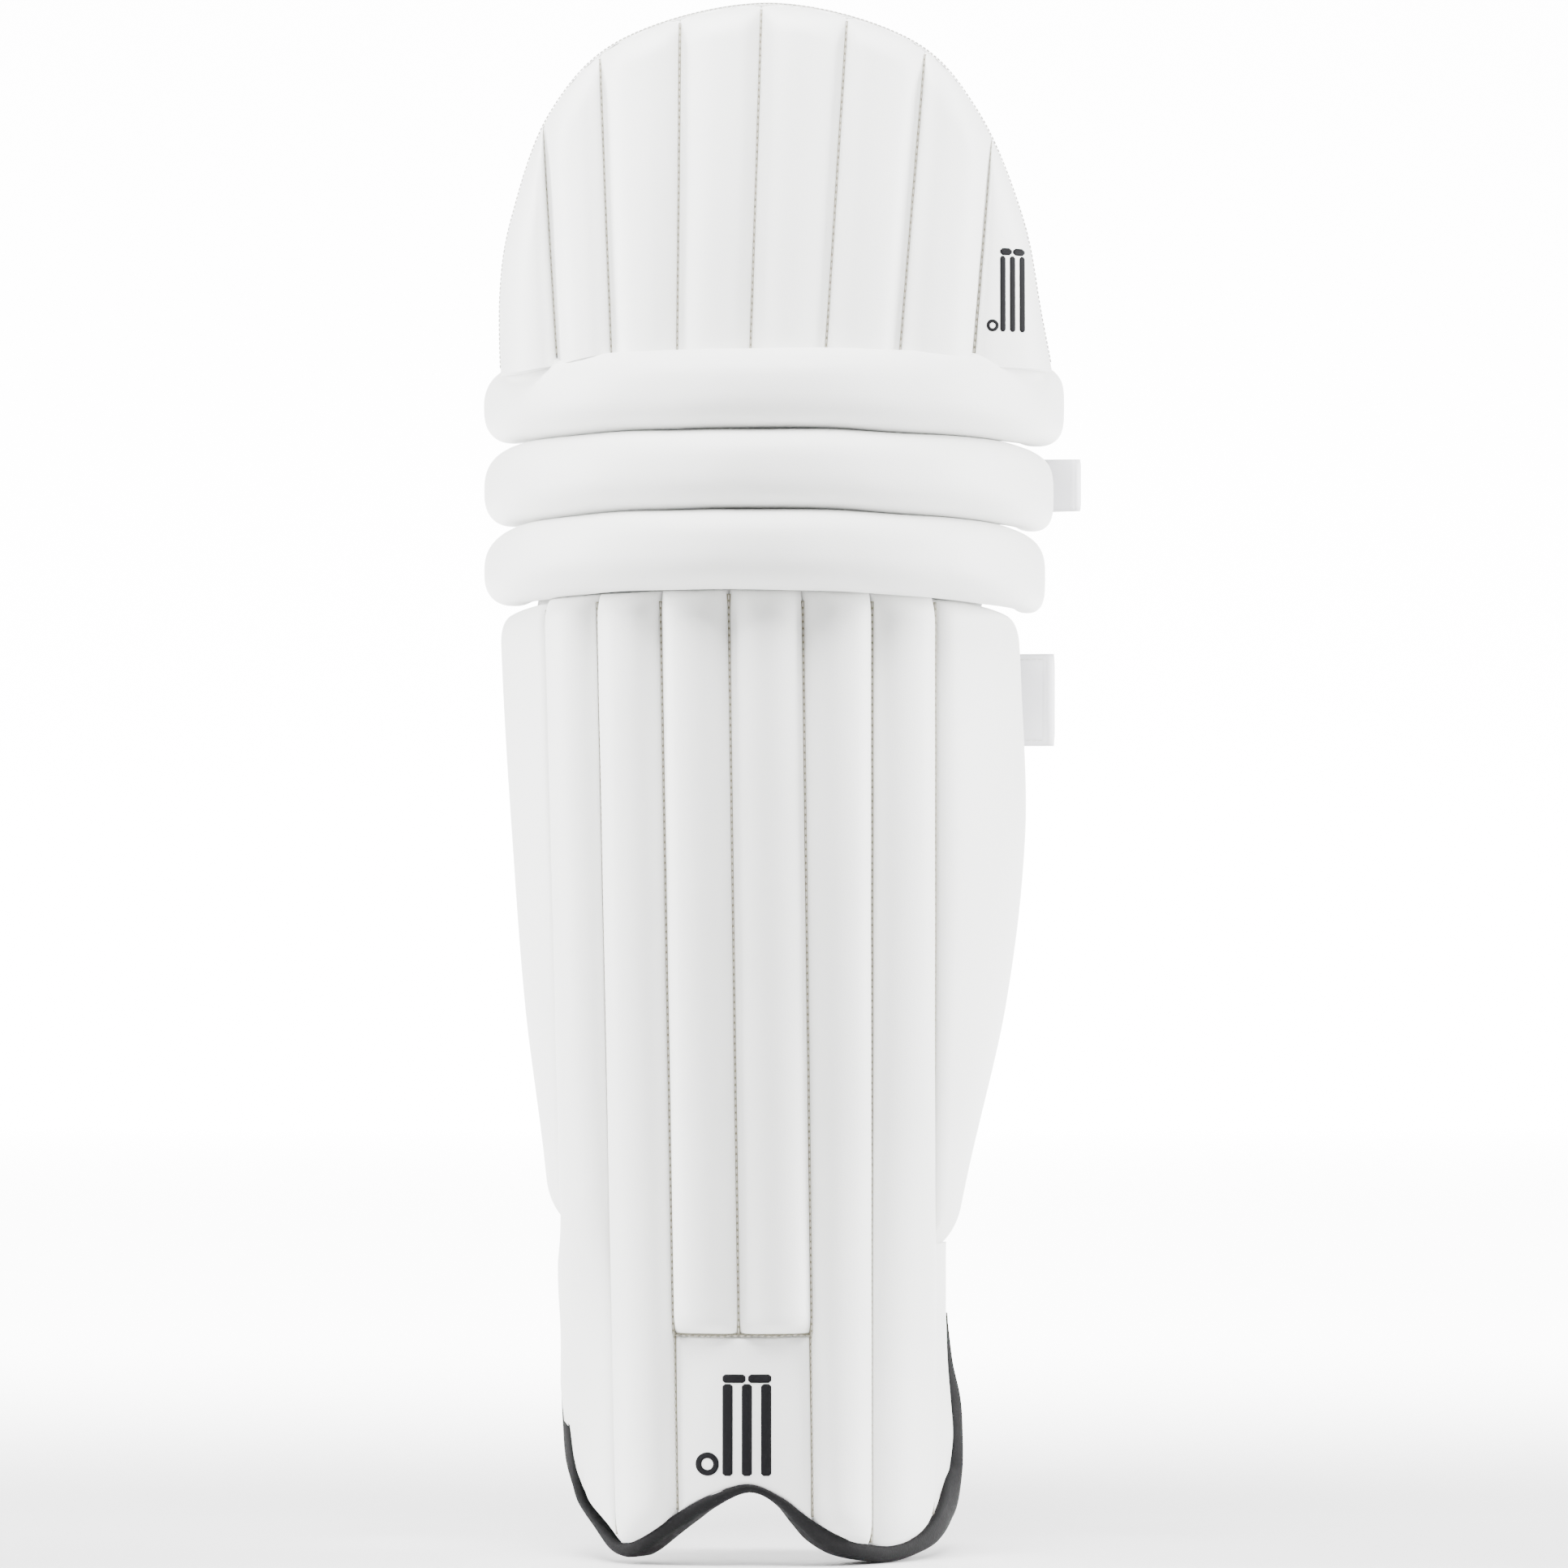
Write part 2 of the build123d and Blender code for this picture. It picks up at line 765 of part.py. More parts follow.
def knee_path(z):
    free = [(KNEE_FOLD_X, 24), (138 * wide, 38), (112 * wide, 66), (60 * wide, 92), (0, LEG_DEPTH + 8)]
    return free + around(
        knee_plan, z, [(-150, 2), (-125, 0), (-106, -6), (-92, -9.3), (-82, -8.7), (-72, -8.6), (-62, -8.6)]
    )


over_anchor = Pos(0, 14 - 200, seam_limit(2, -1, 14) - 1 + 50) * Box(600, 400, 100)
save(
    "knee_strap_anchor",
    ribbon(knee_anchor_path, knee_low, knee_high, STRAP_THICK) - over_anchor,
)
knee_webbing = ribbon(knee_path, knee_low, knee_high, STRAP_THICK) - over_anchor
save("knee_strap_webbing", knee_webbing)
save("knee_strap_pad", strap_cushion(knee_path, 0.28, 0.60, knee_low, knee_high))
knee_patch_levels = [knee_low + 3, seam_limit(2, -1, 14) - 4]
save(
    "knee_loop_patch",
    pad_band(knee_plan, knee_patch_levels, fixed(-80), fixed(-63), -5.3, -4.1),
)
save(
    "knee_hook_patch",
    pad_band(knee_plan, knee_patch_levels, fixed(-80), fixed(-64), -6.8, -5.6),
)

# Ankle strap: sewn inside the outer side, tucked inside the inner side.
ankle_low, ankle_high = strap_levels(ANKLE_STRAP_HEIGHT, ANKLE_STRAP_WIDTH)
ankle_in = -BACKING - LINING - 2 * GAP


def ankle_anchor_path(z):
    return around(
        shin_plan,
        z,
        [(56, -8.4), (68, -8.4), (80, -8.4), (90, -8.4)],
    )


def ankle_path(z):
    outer_side = [(96, -5), (120, -2), (150, 0), (180, 0)]
    inner_side = [(-150, 0), (-125, -4), (-104, -10), (-90, -11.6), (-83, -11.1), (-68, -11.1)]
    return around(shin_plan, z, outer_side + inner_side)


save("ankle_strap_anchor", ribbon(ankle_anchor_path, ankle_low, ankle_high, STRAP_THICK))
save("ankle_strap_webbing", ribbon(ankle_path, ankle_low, ankle_high, STRAP_THICK))
ankle_patch_levels = [ankle_low + 3, ankle_high - 3]
save(
    "ankle_loop_patch",
    pad_band(
        shin_plan, ankle_patch_levels, fixed(-83), fixed(-69), ankle_in - PATCH_THICK, ankle_in
    ),
)
save(
    "ankle_hook_patch",
    pad_band(
        shin_plan,
        ankle_patch_levels,
        fixed(-83),
        fixed(-71),
        ankle_in - 2 * PATCH_THICK - GAP,
        ankle_in - PATCH_THICK - GAP,
    ),
)
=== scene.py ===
import json
import math
import bisect
import bpy
import bmesh
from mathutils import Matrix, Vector, noise


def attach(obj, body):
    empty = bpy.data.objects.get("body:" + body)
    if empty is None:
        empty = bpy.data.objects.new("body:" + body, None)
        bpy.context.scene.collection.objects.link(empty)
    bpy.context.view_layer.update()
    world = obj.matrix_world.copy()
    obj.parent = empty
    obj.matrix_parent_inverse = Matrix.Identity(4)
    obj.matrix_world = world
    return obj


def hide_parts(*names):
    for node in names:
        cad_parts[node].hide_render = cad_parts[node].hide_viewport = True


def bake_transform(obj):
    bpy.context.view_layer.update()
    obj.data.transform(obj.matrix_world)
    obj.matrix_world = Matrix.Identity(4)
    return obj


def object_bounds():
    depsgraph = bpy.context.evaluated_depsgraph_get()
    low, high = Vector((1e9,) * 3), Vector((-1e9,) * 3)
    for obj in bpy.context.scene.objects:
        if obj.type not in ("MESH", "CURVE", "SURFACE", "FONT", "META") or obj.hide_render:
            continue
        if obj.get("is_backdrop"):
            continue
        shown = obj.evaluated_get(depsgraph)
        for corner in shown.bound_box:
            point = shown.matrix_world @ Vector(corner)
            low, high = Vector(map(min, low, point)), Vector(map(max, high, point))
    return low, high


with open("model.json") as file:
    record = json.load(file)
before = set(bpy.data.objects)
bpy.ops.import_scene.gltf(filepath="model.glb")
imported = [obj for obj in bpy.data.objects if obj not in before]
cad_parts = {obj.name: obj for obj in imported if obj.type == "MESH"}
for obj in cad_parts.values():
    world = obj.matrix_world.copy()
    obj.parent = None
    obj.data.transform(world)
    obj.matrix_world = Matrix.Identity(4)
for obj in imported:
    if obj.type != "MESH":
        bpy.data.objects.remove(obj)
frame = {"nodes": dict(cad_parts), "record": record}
CAD_LOW, CAD_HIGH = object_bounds()
MM = 0.001

# ---- The pad's shape, in millimetres: the CAD's plan shape, seams and outlines ----
TALL = CAD_HIGH.z / MM / 705.0
SHIN_END, HAT_BASE = 441.5, 548.0  # knee seams above and below the rolls, at the front
LEG_DEPTH = 96.0
SHIN_TABLE = [
    (-12, 78, 82, LEG_DEPTH + 1),
    (55, 78, 80, LEG_DEPTH - 3),
    (110, 78, 79, LEG_DEPTH - 6),
    (170, 82, 86, LEG_DEPTH - 6),
    (250, 92, 103, LEG_DEPTH - 4),
    (330, 98, 112, LEG_DEPTH - 2),
    (400, 102, 110, LEG_DEPTH),
    (465, 104, 108, LEG_DEPTH),
]
SEAMS_TOP = [-94, -70, -41, -10, 23.5, 55, 84]
SEAMS_FOOT = [-82, -61, -33.5, -4, 29, 55, 84]
HAT_SEAMS_BASE = [-88, -63, -33, 0, 34, 67.5, 101]
HAT_SEAMS_CROWN = [-96, -68, -32, 4, 42, 78, 112]
# The black foot binding seen from the front: its outer and inner edges, point by point.
FOOT_OUTER = [(-86.6, 103), (-87.1, 80.5), (-86.4, 58), (-85.1, 42.4), (-81.2, 32), (-78.2, 24),
              (-71.2, 14.6), (-64.3, 5.9), (-58.2, 2.9), (-52.2, 4.2), (-40, 12.4), (-28, 20.3),
              (-17.5, 26.7), (-0.6, 33.6), (12.8, 27.6), (22, 18.5), (30, 11), (42, 4.5), (56, 1),
              (66, 0.4), (76, 2.3), (85.9, 6.4), (93.9, 17), (97.2, 35), (97.4, 52), (96.4, 69.3),
              (92.4, 87.4), (89.2, 109)]
FOOT_INNER = [(-86.4, 103), (-85.5, 80.5), (-83.4, 59), (-81.4, 44), (-79.5, 32), (-77, 25.5),
              (-69.5, 16.6), (-62.5, 9.8), (-57.5, 8.9), (-52.5, 11), (-42.5, 17.2), (-30.5, 25.6),
              (-18.5, 32), (-1, 37.2), (13.5, 31.6), (23.5, 24), (32, 18), (43.5, 12), (56.5, 8),
              (66, 7.6), (75.8, 10.4), (83.3, 16.5), (88, 25), (90.3, 38), (91.9, 53), (90.8, 70),
              (89.4, 88), (88.7, 109)]
HAT_EDGE = [(-115, 520), (-116, 575), (-110, 612), (-92, 658), (-58, 690), (8, 705),
            (72, 690), (104, 658), (125, 610), (134, 565), (143, 520)]
# Each knee seam's height at the front and how much it falls for each millimetre towards the back.
KNEE_SEAMS = [(SHIN_END, 0.0875), (477.0, 0.075), (512.5, 0.05), (HAT_BASE, 0.02)]
KNEE_WEDGE = math.tan(math.radians(2.8))  # room that opens behind the hinges for the bend
KNEE_FRONT_Y = -138.0
KNEE_HINGE_Y = -60.0
INNER_REACH = [88, 88, 90, 102, 122, 132, 132, 124]
OUTER_REACH = [76, 76, 76, 88, 104, 110, 108, 100]
INSTEP_TOP = 104.0
SHIN_VALLEY, SHIN_CREST = 8.5, 20.5
HAT_VALLEY, HAT_CREST = 8.5, 20.5
LINE_DEPTH = 3.2


def lerp(a, b, t):
    return a + (b - a) * t


def clamp(value, low=0.0, high=1.0):
    return max(low, min(high, value))


def ease(t):
    t = clamp(t)
    return t * t * (3 - 2 * t)


def bracket(values, value):
    """Index of the step of a rising list that a value lies in."""
    return max(0, min(len(values) - 2, bisect.bisect_right(values, value) - 1))


def smooth(table, height, column):
    """Value of one column of a station table at any height, with no corners."""
    heights = [row[0] for row in table]
    i = bracket(heights, height)
    a, b = table[i], table[i + 1]
    step = b[0] - a[0]
    t = clamp((height - a[0]) / step)

    def slope(k):
        if k == 0 or k == len(table) - 1:
            return 0.0
        return (table[k + 1][column] - table[k - 1][column]) / (heights[k + 1] - heights[k - 1])

    h1, h2 = slope(i) * step, slope(i + 1) * step
    return (a[column] * (1 + 2 * t) * (1 - t) ** 2 + h1 * t * (1 - t) ** 2
            + b[column] * t * t * (3 - 2 * t) + h2 * t * t * (t - 1))


# A plan gives the pad's outline round the leg at a height: how far it reaches across on the inner
# and outer sides, its depth, and how far back its middle lies.
def shin_plan(z):
    return smooth(SHIN_TABLE, z, 1), smooth(SHIN_TABLE, z, 2), smooth(SHIN_TABLE, z, 3), 0.0


def knee_plan(z):
    return 96.0, 118.0, LEG_DEPTH + 4, 0.0


def hat_plan(z):
    return 128.0, 152.0, LEG_DEPTH + 2, 0.06 * (z - HAT_BASE)


def point(plan, angle, out, z):
    """Where a plan's surface, moved out, is at an angle from the front."""
    inner, outer, depth, back = plan(z)
    across = outer if angle > 0 else inner
    turn = math.radians(angle)
    return ((across + out) * math.sin(turn), back - (depth + out) * math.cos(turn), z)


def angle_at(plan, x, out, z):
    """The angle at which that surface is seen at x from the front."""
    inner, outer, depth, back = plan(z)
    across = (outer if x > 0 else inner) + out
    return math.degrees(math.asin(clamp(x / across, -0.9999, 0.9999)))


def segment_distance(line, x, z):
    """How far a point is from a line of straight runs."""
    best = 1e9
    for (ax, az), (bx, bz) in zip(line, line[1:]):
        dx, dz = bx - ax, bz - az
        t = clamp(((x - ax) * dx + (z - az) * dz) / (dx * dx + dz * dz))
        best = min(best, (x - ax - t * dx) ** 2 + (z - az - t * dz) ** 2)
    return math.sqrt(best)


def catmull(points, steps):
    """A smooth open line through the points."""
    ends = [tuple(2 * a - b for a, b in zip(points[0], points[1]))] + list(points)
    ends.append(tuple(2 * a - b for a, b in zip(points[-1], points[-2])))
    out = []
    for i in range(1, len(ends) - 2):
        p0, p1, p2, p3 = ends[i - 1:i + 3]
        for k in range(steps):
            t = k / steps
            out.append(tuple(
                0.5 * (2 * b + (c - a) * t + (2 * a - 5 * b + 4 * c - d) * t * t
                       + (3 * b - 3 * c + d - a) * t ** 3)
                for a, b, c, d in zip(p0, p1, p2, p3)))
    out.append(tuple(points[-1]))
    return out


def with_normals(line):
    """Each point of a line with its unit normal, which points to the line's left."""
    out = []
    for i, (x, y) in enumerate(line):
        before, after = line[max(i - 1, 0)], line[min(i + 1, len(line) - 1)]
        dx, dy = after[0] - before[0], after[1] - before[1]
        size = math.hypot(dx, dy) or 1.0
        out.append((x, y, -dy / size, dx / size))
    return out


def inset(line, amount):
    """The line moved to its left."""
    return [(x + nx * amount, z + nz * amount) for x, z, nx, nz in with_normals(line)]


def along_x(line):
    """Height of a line that runs from left to right, at any x."""
    rising = [line[0]]
    for p in line[1:]:
        if p[0] > rising[-1][0]:
            rising.append(p)
    xs = [p[0] for p in rising]

    def height(x):
        i = bracket(xs, x)
        a, b = rising[i], rising[i + 1]
        return lerp(a[1], b[1], clamp((x - a[0]) / (b[0] - a[0])))

    return height


def side_x(line):
    """x of a nearly upright line at any height."""
    pts = sorted((z, x) for x, z in line)
    zs = [p[0] for p in pts]

    def x_at(z):
        i = bracket(zs, z)
        a, b = pts[i], pts[i + 1]
        if b[0] == a[0]:
            return a[1]
        return lerp(a[1], b[1], clamp((z - a[0]) / (b[0] - a[0])))

    return x_at


foot_outer = catmull([(x, z * TALL) for x, z in FOOT_OUTER], 8)
foot_edge = catmull([(x, z * TALL) for x, z in FOOT_INNER], 8)
hat_line = catmull([(x, z * TALL) for x, z in HAT_EDGE], 24)


foot_inner = along_x(foot_edge)
foot_low = along_x([(lerp(a, c, 0.5), lerp(b, d, 0.5))
                    for (a, b), (c, d) in zip(foot_outer, foot_edge)])
FOOT_NEAR = foot_edge[::3]


def foot_gap(x, z):
    """How far a point is above the inner edge of the black binding."""
    return segment_distance(FOOT_NEAR, x, z) if z > foot_inner(x) else 0.0


# x of the binding's inner edge on either side of the foot, at any height.
foot_left_x, foot_right_x = (
    side_x([(x, z) for x, z in foot_edge if (x > 70) == right and abs(x) > 60])
    for right in (False, True))


def place_at(x, z, out, limit):
    """Angle and distance out of a point seen at x from the front, out where the surface allows."""
    inner, outer, depth, back = shin_plan(z)
    across = outer if x > 0 else inner
    turn = math.asin(min(abs(x) / (across + out), math.sin(math.radians(limit))))
    return math.copysign(math.degrees(turn), x), abs(x) / math.sin(turn) - across


def seam_limit(k, side, y, gap=0.3):
    """Height at which the piece above (side 1) or below (side -1) a knee seam ends."""
    height, fall = KNEE_SEAMS[k]
    wedge = max(0.0, y - KNEE_HINGE_Y) * KNEE_WEDGE
    return height - fall * (y - KNEE_FRONT_Y) + side * (gap + wedge)


def shin_seam(k, z):
    share = clamp(z / SHIN_END)
    found = angle_at(shin_plan, lerp(SEAMS_FOOT[k], SEAMS_TOP[k], share), 12.5, z)
    if k == 0 and z < 162:
        edge = place_at(foot_left_x(z) - 0.9, z, 8.6, 84.5)[0]
        found = lerp(found, edge, ease((162 - z) / 55))
    return found


def hat_seam_x(k, z):
    return lerp(HAT_SEAMS_BASE[k], HAT_SEAMS_CROWN[k], (z - 550) / 125)


def wing_reach(z, reaches):
    """Angle of a wing's rear edge."""
    return smooth([(row[0], reach) for row, reach in zip(SHIN_TABLE, reaches)], z, 1)


# ---- Meshes ----
def add_object(name, data):
    ob = bpy.data.objects.new(name, data)
    bpy.context.scene.collection.objects.link(ob)
    return ob


def link(name, verts, faces):
    """A smooth object from points in millimetres, with doubles merged."""
    mesh = bpy.data.meshes.new(name)
    mesh.from_pydata([Vector(v) * MM for v in verts], [], faces)
    mesh.validate()
    ob = add_object(name, mesh)
    bm = bmesh.new()
    bm.from_mesh(mesh)
    bmesh.ops.remove_doubles(bm, verts=bm.verts, dist=2e-6)
    bmesh.ops.recalc_face_normals(bm, faces=bm.faces)
    for face in bm.faces:
        face.smooth = True
    bm.to_mesh(mesh)
    bm.free()
    return ob


def two_sided(verts, faces, front, back):
    """Closes two grids of the same size, front and back, along their borders."""
    rows, cols = len(front), len(front[0])
    base = len(verts)
    for grid in (front, back):
        for row in grid:
            verts.extend(row)

    def at(side, r, c):
        return base + side * rows * cols + r * cols + c

    for r in range(rows - 1):
        for c in range(cols - 1):
            faces.append((at(0, r, c), at(0, r, c + 1), at(0, r + 1, c + 1), at(0, r + 1, c)))
            faces.append((at(1, r + 1, c), at(1, r + 1, c + 1), at(1, r, c + 1), at(1, r, c)))
    ring = [(0, c) for c in range(cols)] + [(r, cols - 1) for r in range(1, rows)]
    ring += [(rows - 1, c) for c in range(cols - 2, -1, -1)]
    ring += [(r, 0) for r in range(rows - 2, 0, -1)]
    for a, b in zip(ring, ring[1:] + ring[:1]):
        faces.append((at(0, *b), at(0, *a), at(1, *a), at(1, *b)))


def thick_point(plan, angle, out, back, z):
    """The front and back point of a padded piece at one place."""
    return point(plan, angle, out, z), point(plan, angle, back, z)


def grids(rows, columns, place):
    """Front and back grids of a padded piece, where place(u, v) gives the two points."""
    pairs = [[place(u, v) for u in columns] for v in rows]
    return [[[pair[side] for pair in row] for row in pairs] for side in (0, 1)]


def skin(name, *pairs):
    """One object from pairs of grids, each pair closed into a form of its own."""
    verts, faces = [], []
    for front, back in pairs:
        two_sided(verts, faces, front, back)
    return link(name, verts, faces)


def ends_dense(count):
    return [0.5 - 0.5 * math.cos(math.pi * i / (count - 1)) for i in range(count)]


def rows_between(count):
    """Shares from 0 to 1, closer together at the ends that curve in."""
    def end(t):
        return t * (0.25 + 0.75 * t / 0.08)

    shares = [i / (count - 1) for i in range(count)]
    return [end(t) if t < 0.08 else 1 - end(1 - t) if t > 0.92 else t for t in shares]


def tube_faces(faces, base, around, rows):
    """Faces of a tube with flat ends, whose loops of points start at base."""
    for r in range(rows - 1):
        for c in range(around):
            a, b = base + r * around + c, base + r * around + (c + 1) % around
            faces.append((a, b, b + around, a + around))
    faces.append(tuple(base + c for c in range(around - 1, -1, -1)))
    faces.append(tuple(base + (rows - 1) * around + c for c in range(around)))


def tube(name, loops):
    """A skin through closed loops, with flat ends."""
    faces = []
    tube_faces(faces, 0, len(loops[0]), len(loops))
    return link(name, [p for loop in loops for p in loop], faces)


def wobble(x, y, z, size, seed=0.0):
    """Smooth unevenness from -1 to 1, the same on every run."""
    return noise.noise(Vector((x / size + seed, y / size - seed, z / size + 2 * seed)))


# ---- Materials ----
def node_material(name, colour, rough, sheen=0.0):
    mat = bpy.data.materials.new(name)
    mat.use_nodes = True
    shader = mat.node_tree.nodes["Principled BSDF"]
    shader.inputs["Base Color"].default_value = (*colour, 1)
    shader.inputs["Roughness"].default_value = rough
    if sheen:
        shader.inputs["Sheen Weight"].default_value = sheen
    return mat, mat.node_tree, shader


def add_node(tree, kind, values=(), links=(), operation=None):
    """A shader node with its sockets' values, and the outputs that feed them, as (socket, ...)."""
    node = tree.nodes.new("ShaderNode" + kind)
    if operation:
        node.operation = operation
    for socket, value in values:
        node.inputs[socket].default_value = value
    for socket, output in links:
        tree.links.new(output, node.inputs[socket])
    return node


def add_bump(tree, shader, height_socket, strength, distance):
    bump = add_node(tree, "Bump", [("Strength", strength), ("Distance", distance)],
                    [("Height", height_socket)])
    tree.links.new(bump.outputs["Normal"], shader.inputs["Normal"])


def tint(tree, shader, colour, other, scale):
    """Slow change between two close colours. Gives the coordinates to work in."""
    place = add_node(tree, "TexCoord").outputs["Object"]
    tex = add_node(tree, "TexNoise", [("Scale", scale), ("Detail", 3.0)], [("Vector", place)])
    ramp = add_node(tree, "ValToRGB", links=[("Fac", tex.outputs["Fac"])])
    for element, position, shade in zip(ramp.color_ramp.elements, (0.35, 0.65), (colour, other)):
        element.position = position
        element.color = (*shade, 1)
    tree.links.new(ramp.outputs["Color"], shader.inputs["Base Color"])
    return place


def leather(name, colour, other, rough, grain=1500, strength=0.12):
    mat, tree, shader = node_material(name, colour, rough)
    place = tint(tree, shader, colour, other, 9)
    cells = add_node(tree, "TexVoronoi", [("Scale", grain)], [("Vector", place)])
    fine = add_node(tree, "TexNoise", [("Scale", 260), ("Detail", 4)], [("Vector", place)])
    mix = add_node(tree, "Math", [(1, 0.5)], [(0, cells.outputs["Distance"]),
                                              (2, fine.outputs["Fac"])], "MULTIPLY_ADD")
    add_bump(tree, shader, mix.outputs["Value"], strength, 0.0006)
    return mat


def cloth(name, colour, other, scale=900, strength=0.35, rough=0.9, sheen=0.25):
    """Woven or knitted cloth: two crossed fine waves."""
    mat, tree, shader = node_material(name, colour, rough, sheen)
    place = tint(tree, shader, colour, other, 40)
    bands = []
    for direction in ("X", "Z"):
        wave = add_node(tree, "TexWave", [("Scale", scale / 6.283), ("Distortion", 0.6)],
                        [("Vector", place)])
        wave.bands_direction = direction
        bands.append(wave.outputs["Fac"])
    mix = add_node(tree, "Math", links=[(0, bands[0]), (1, bands[1])], operation="MULTIPLY")
    add_bump(tree, shader, mix.outputs["Value"], strength, 0.0004)
    return mat


M_FACE = leather("white_face", (0.80, 0.805, 0.79), (0.83, 0.833, 0.82), 0.50)
M_INSTEP = leather("white_panel", (0.83, 0.835, 0.82), (0.85, 0.852, 0.842), 0.46)
M_STRAP = leather("white_strap", (0.80, 0.80, 0.83), (0.83, 0.83, 0.855), 0.5)
M_BLACK = leather("black_tape", (0.005, 0.005, 0.0055), (0.008, 0.008, 0.0085), 0.7, 1100, 0.3)
M_TAPE = cloth("woven_tape", (0.78, 0.78, 0.76), (0.70, 0.70, 0.68), 2600, 0.8, 0.8, 0.1)
M_LINING = cloth("lining_cloth", (0.70, 0.70, 0.69), (0.75, 0.75, 0.74), 1500, 0.5)
M_FILLING = cloth("foam", (0.70, 0.66, 0.56), (0.74, 0.70, 0.60), 600, 0.2, 0.95, 0.0)
M_BACKING = cloth("backing_board", (0.52, 0.46, 0.36), (0.56, 0.50, 0.40), 700, 0.2, 0.9, 0.0)
M_LOOP = cloth("loop_tape", (0.74, 0.74, 0.74), (0.66, 0.66, 0.66), 5200, 1.0, 0.95, 0.5)
M_HOOK = cloth("hook_tape", (0.70, 0.70, 0.70), (0.60, 0.60, 0.60), 4200, 1.0, 0.6, 0.0)
# The seam material is near-black: it colours dark strips at the bottom of the seams, painted shade
# for the creases between the channels.
M_THREAD, M_CREASE_SHADE, M_BRAID, M_THREAD_WHITE, M_PRINT = (
    node_material(name, colour, rough)[0] for name, colour, rough in (
        ("thread", (0.36, 0.345, 0.30), 0.8), ("seam", (0.17, 0.16, 0.12), 0.9),
        ("braid", (0.42, 0.41, 0.38), 0.8), ("white_thread", (0.72, 0.72, 0.70), 0.8),
        ("black_print", (0.005, 0.005, 0.006), 0.8)))
for dark in (M_BLACK, M_PRINT):
    dark.node_tree.nodes["Principled BSDF"].inputs["Specular IOR Level"].default_value = 0.12

CAD_MATERIALS = {
    "cover": M_FACE, "strap": M_STRAP, "black_binding": M_BLACK, "white_binding": M_TAPE,
    "lining": M_LINING, "filling": M_FILLING, "backing": M_BACKING, "loop_tape": M_LOOP,
    "hook_tape": M_HOOK,
}
for sub in frame["record"]["subparts"]:
    node_object = frame["nodes"][sub["node"]]
    node_object.data.materials.clear()
    node_object.data.materials.append(CAD_MATERIALS[sub["material_slot"]])


def finish_piece(ob, material, body, stands_for=(), blend=None):
    ob.data.materials.clear()
    ob.data.materials.append(material)
    if stands_for:
        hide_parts(*stands_for)
    if blend:
        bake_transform(ob)
    else:
        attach(ob, body)
    return ob


def distances(line):
    """How far along a line each of its points is."""
    dist = [0.0]
    for a, b in zip(line, line[1:]):
        dist.append(dist[-1] + math.dist(a, b))
    return dist


def resample(line, pitch):
    """The line with its points evenly apart, about pitch."""
    dist = distances(line)
    count = max(2, int(dist[-1] / pitch))
    out = []
    for k in range(count + 1):
        s = dist[-1] * k / count
        i = bracket(dist, s)
        t = (s - dist[i]) / (dist[i + 1] - dist[i] or 1.0)
        out.append(tuple(lerp(a, b, t) for a, b in zip(line[i], line[i + 1])))
    return out


def make_stitches(name, material, body, runs):
    """Short thread lengths, all in one mesh. runs is a list of (points, pitch, length, radius)."""
    verts, faces = [], []
    for line, pitch, length, radius in runs:
        pts = [Vector(p) for p in line]
        dist = distances(pts)
        total = dist[-1]
        if total <= pitch:
            continue
        count = int(total / pitch)

        def at(s):
            i = bracket(dist, s)
            return pts[i].lerp(pts[i + 1], clamp((s - dist[i]) / (dist[i + 1] - dist[i] or 1.0)))

        for k in range(count):
            s0 = (k + 0.5) * total / count - length / 2
            a, b = at(s0), at(s0 + length)
            d = b - a
            if d.length < 1e-6:
                continue
            d.normalize()
            side = d.cross(Vector((0, 0, 1)) if abs(d.z) < 0.9 else Vector((1, 0, 0)))
            side.normalize()
            up = side.cross(d)
            base = len(verts)
            stations = ((0.0, 0.35), (0.18, 0.9), (0.5, 1.1), (0.82, 0.9), (1.0, 0.35))
            for share, size in stations:
                c = a.lerp(b, share)
                for j in range(6):
                    turn = math.pi * j / 3
                    verts.append(tuple(c + (side * math.cos(turn) + up * math.sin(turn))
                                       * radius * size))
            tube_faces(faces, base, 6, len(stations))
    finish_piece(link(name, verts, faces), material, body)


# ---- Shin face ----
def channel_profile(s, power=2.2, root=2.0):
    """Fullness across a channel, s from -1 at one seam to 1 at the other."""
    return max(0.0, 1 - abs(s) ** power) ** (1 / root)


def end_round(distance, reach):
    t = clamp(distance / reach)
    return math.sqrt(max(0.0, 1 - (1 - t) ** 2))


def shin_top(angle):
    y = -(LEG_DEPTH + 10) * math.cos(math.radians(angle))
    return seam_limit(0, -1, y, 0.2)


COLS = 27
ROWS = 190


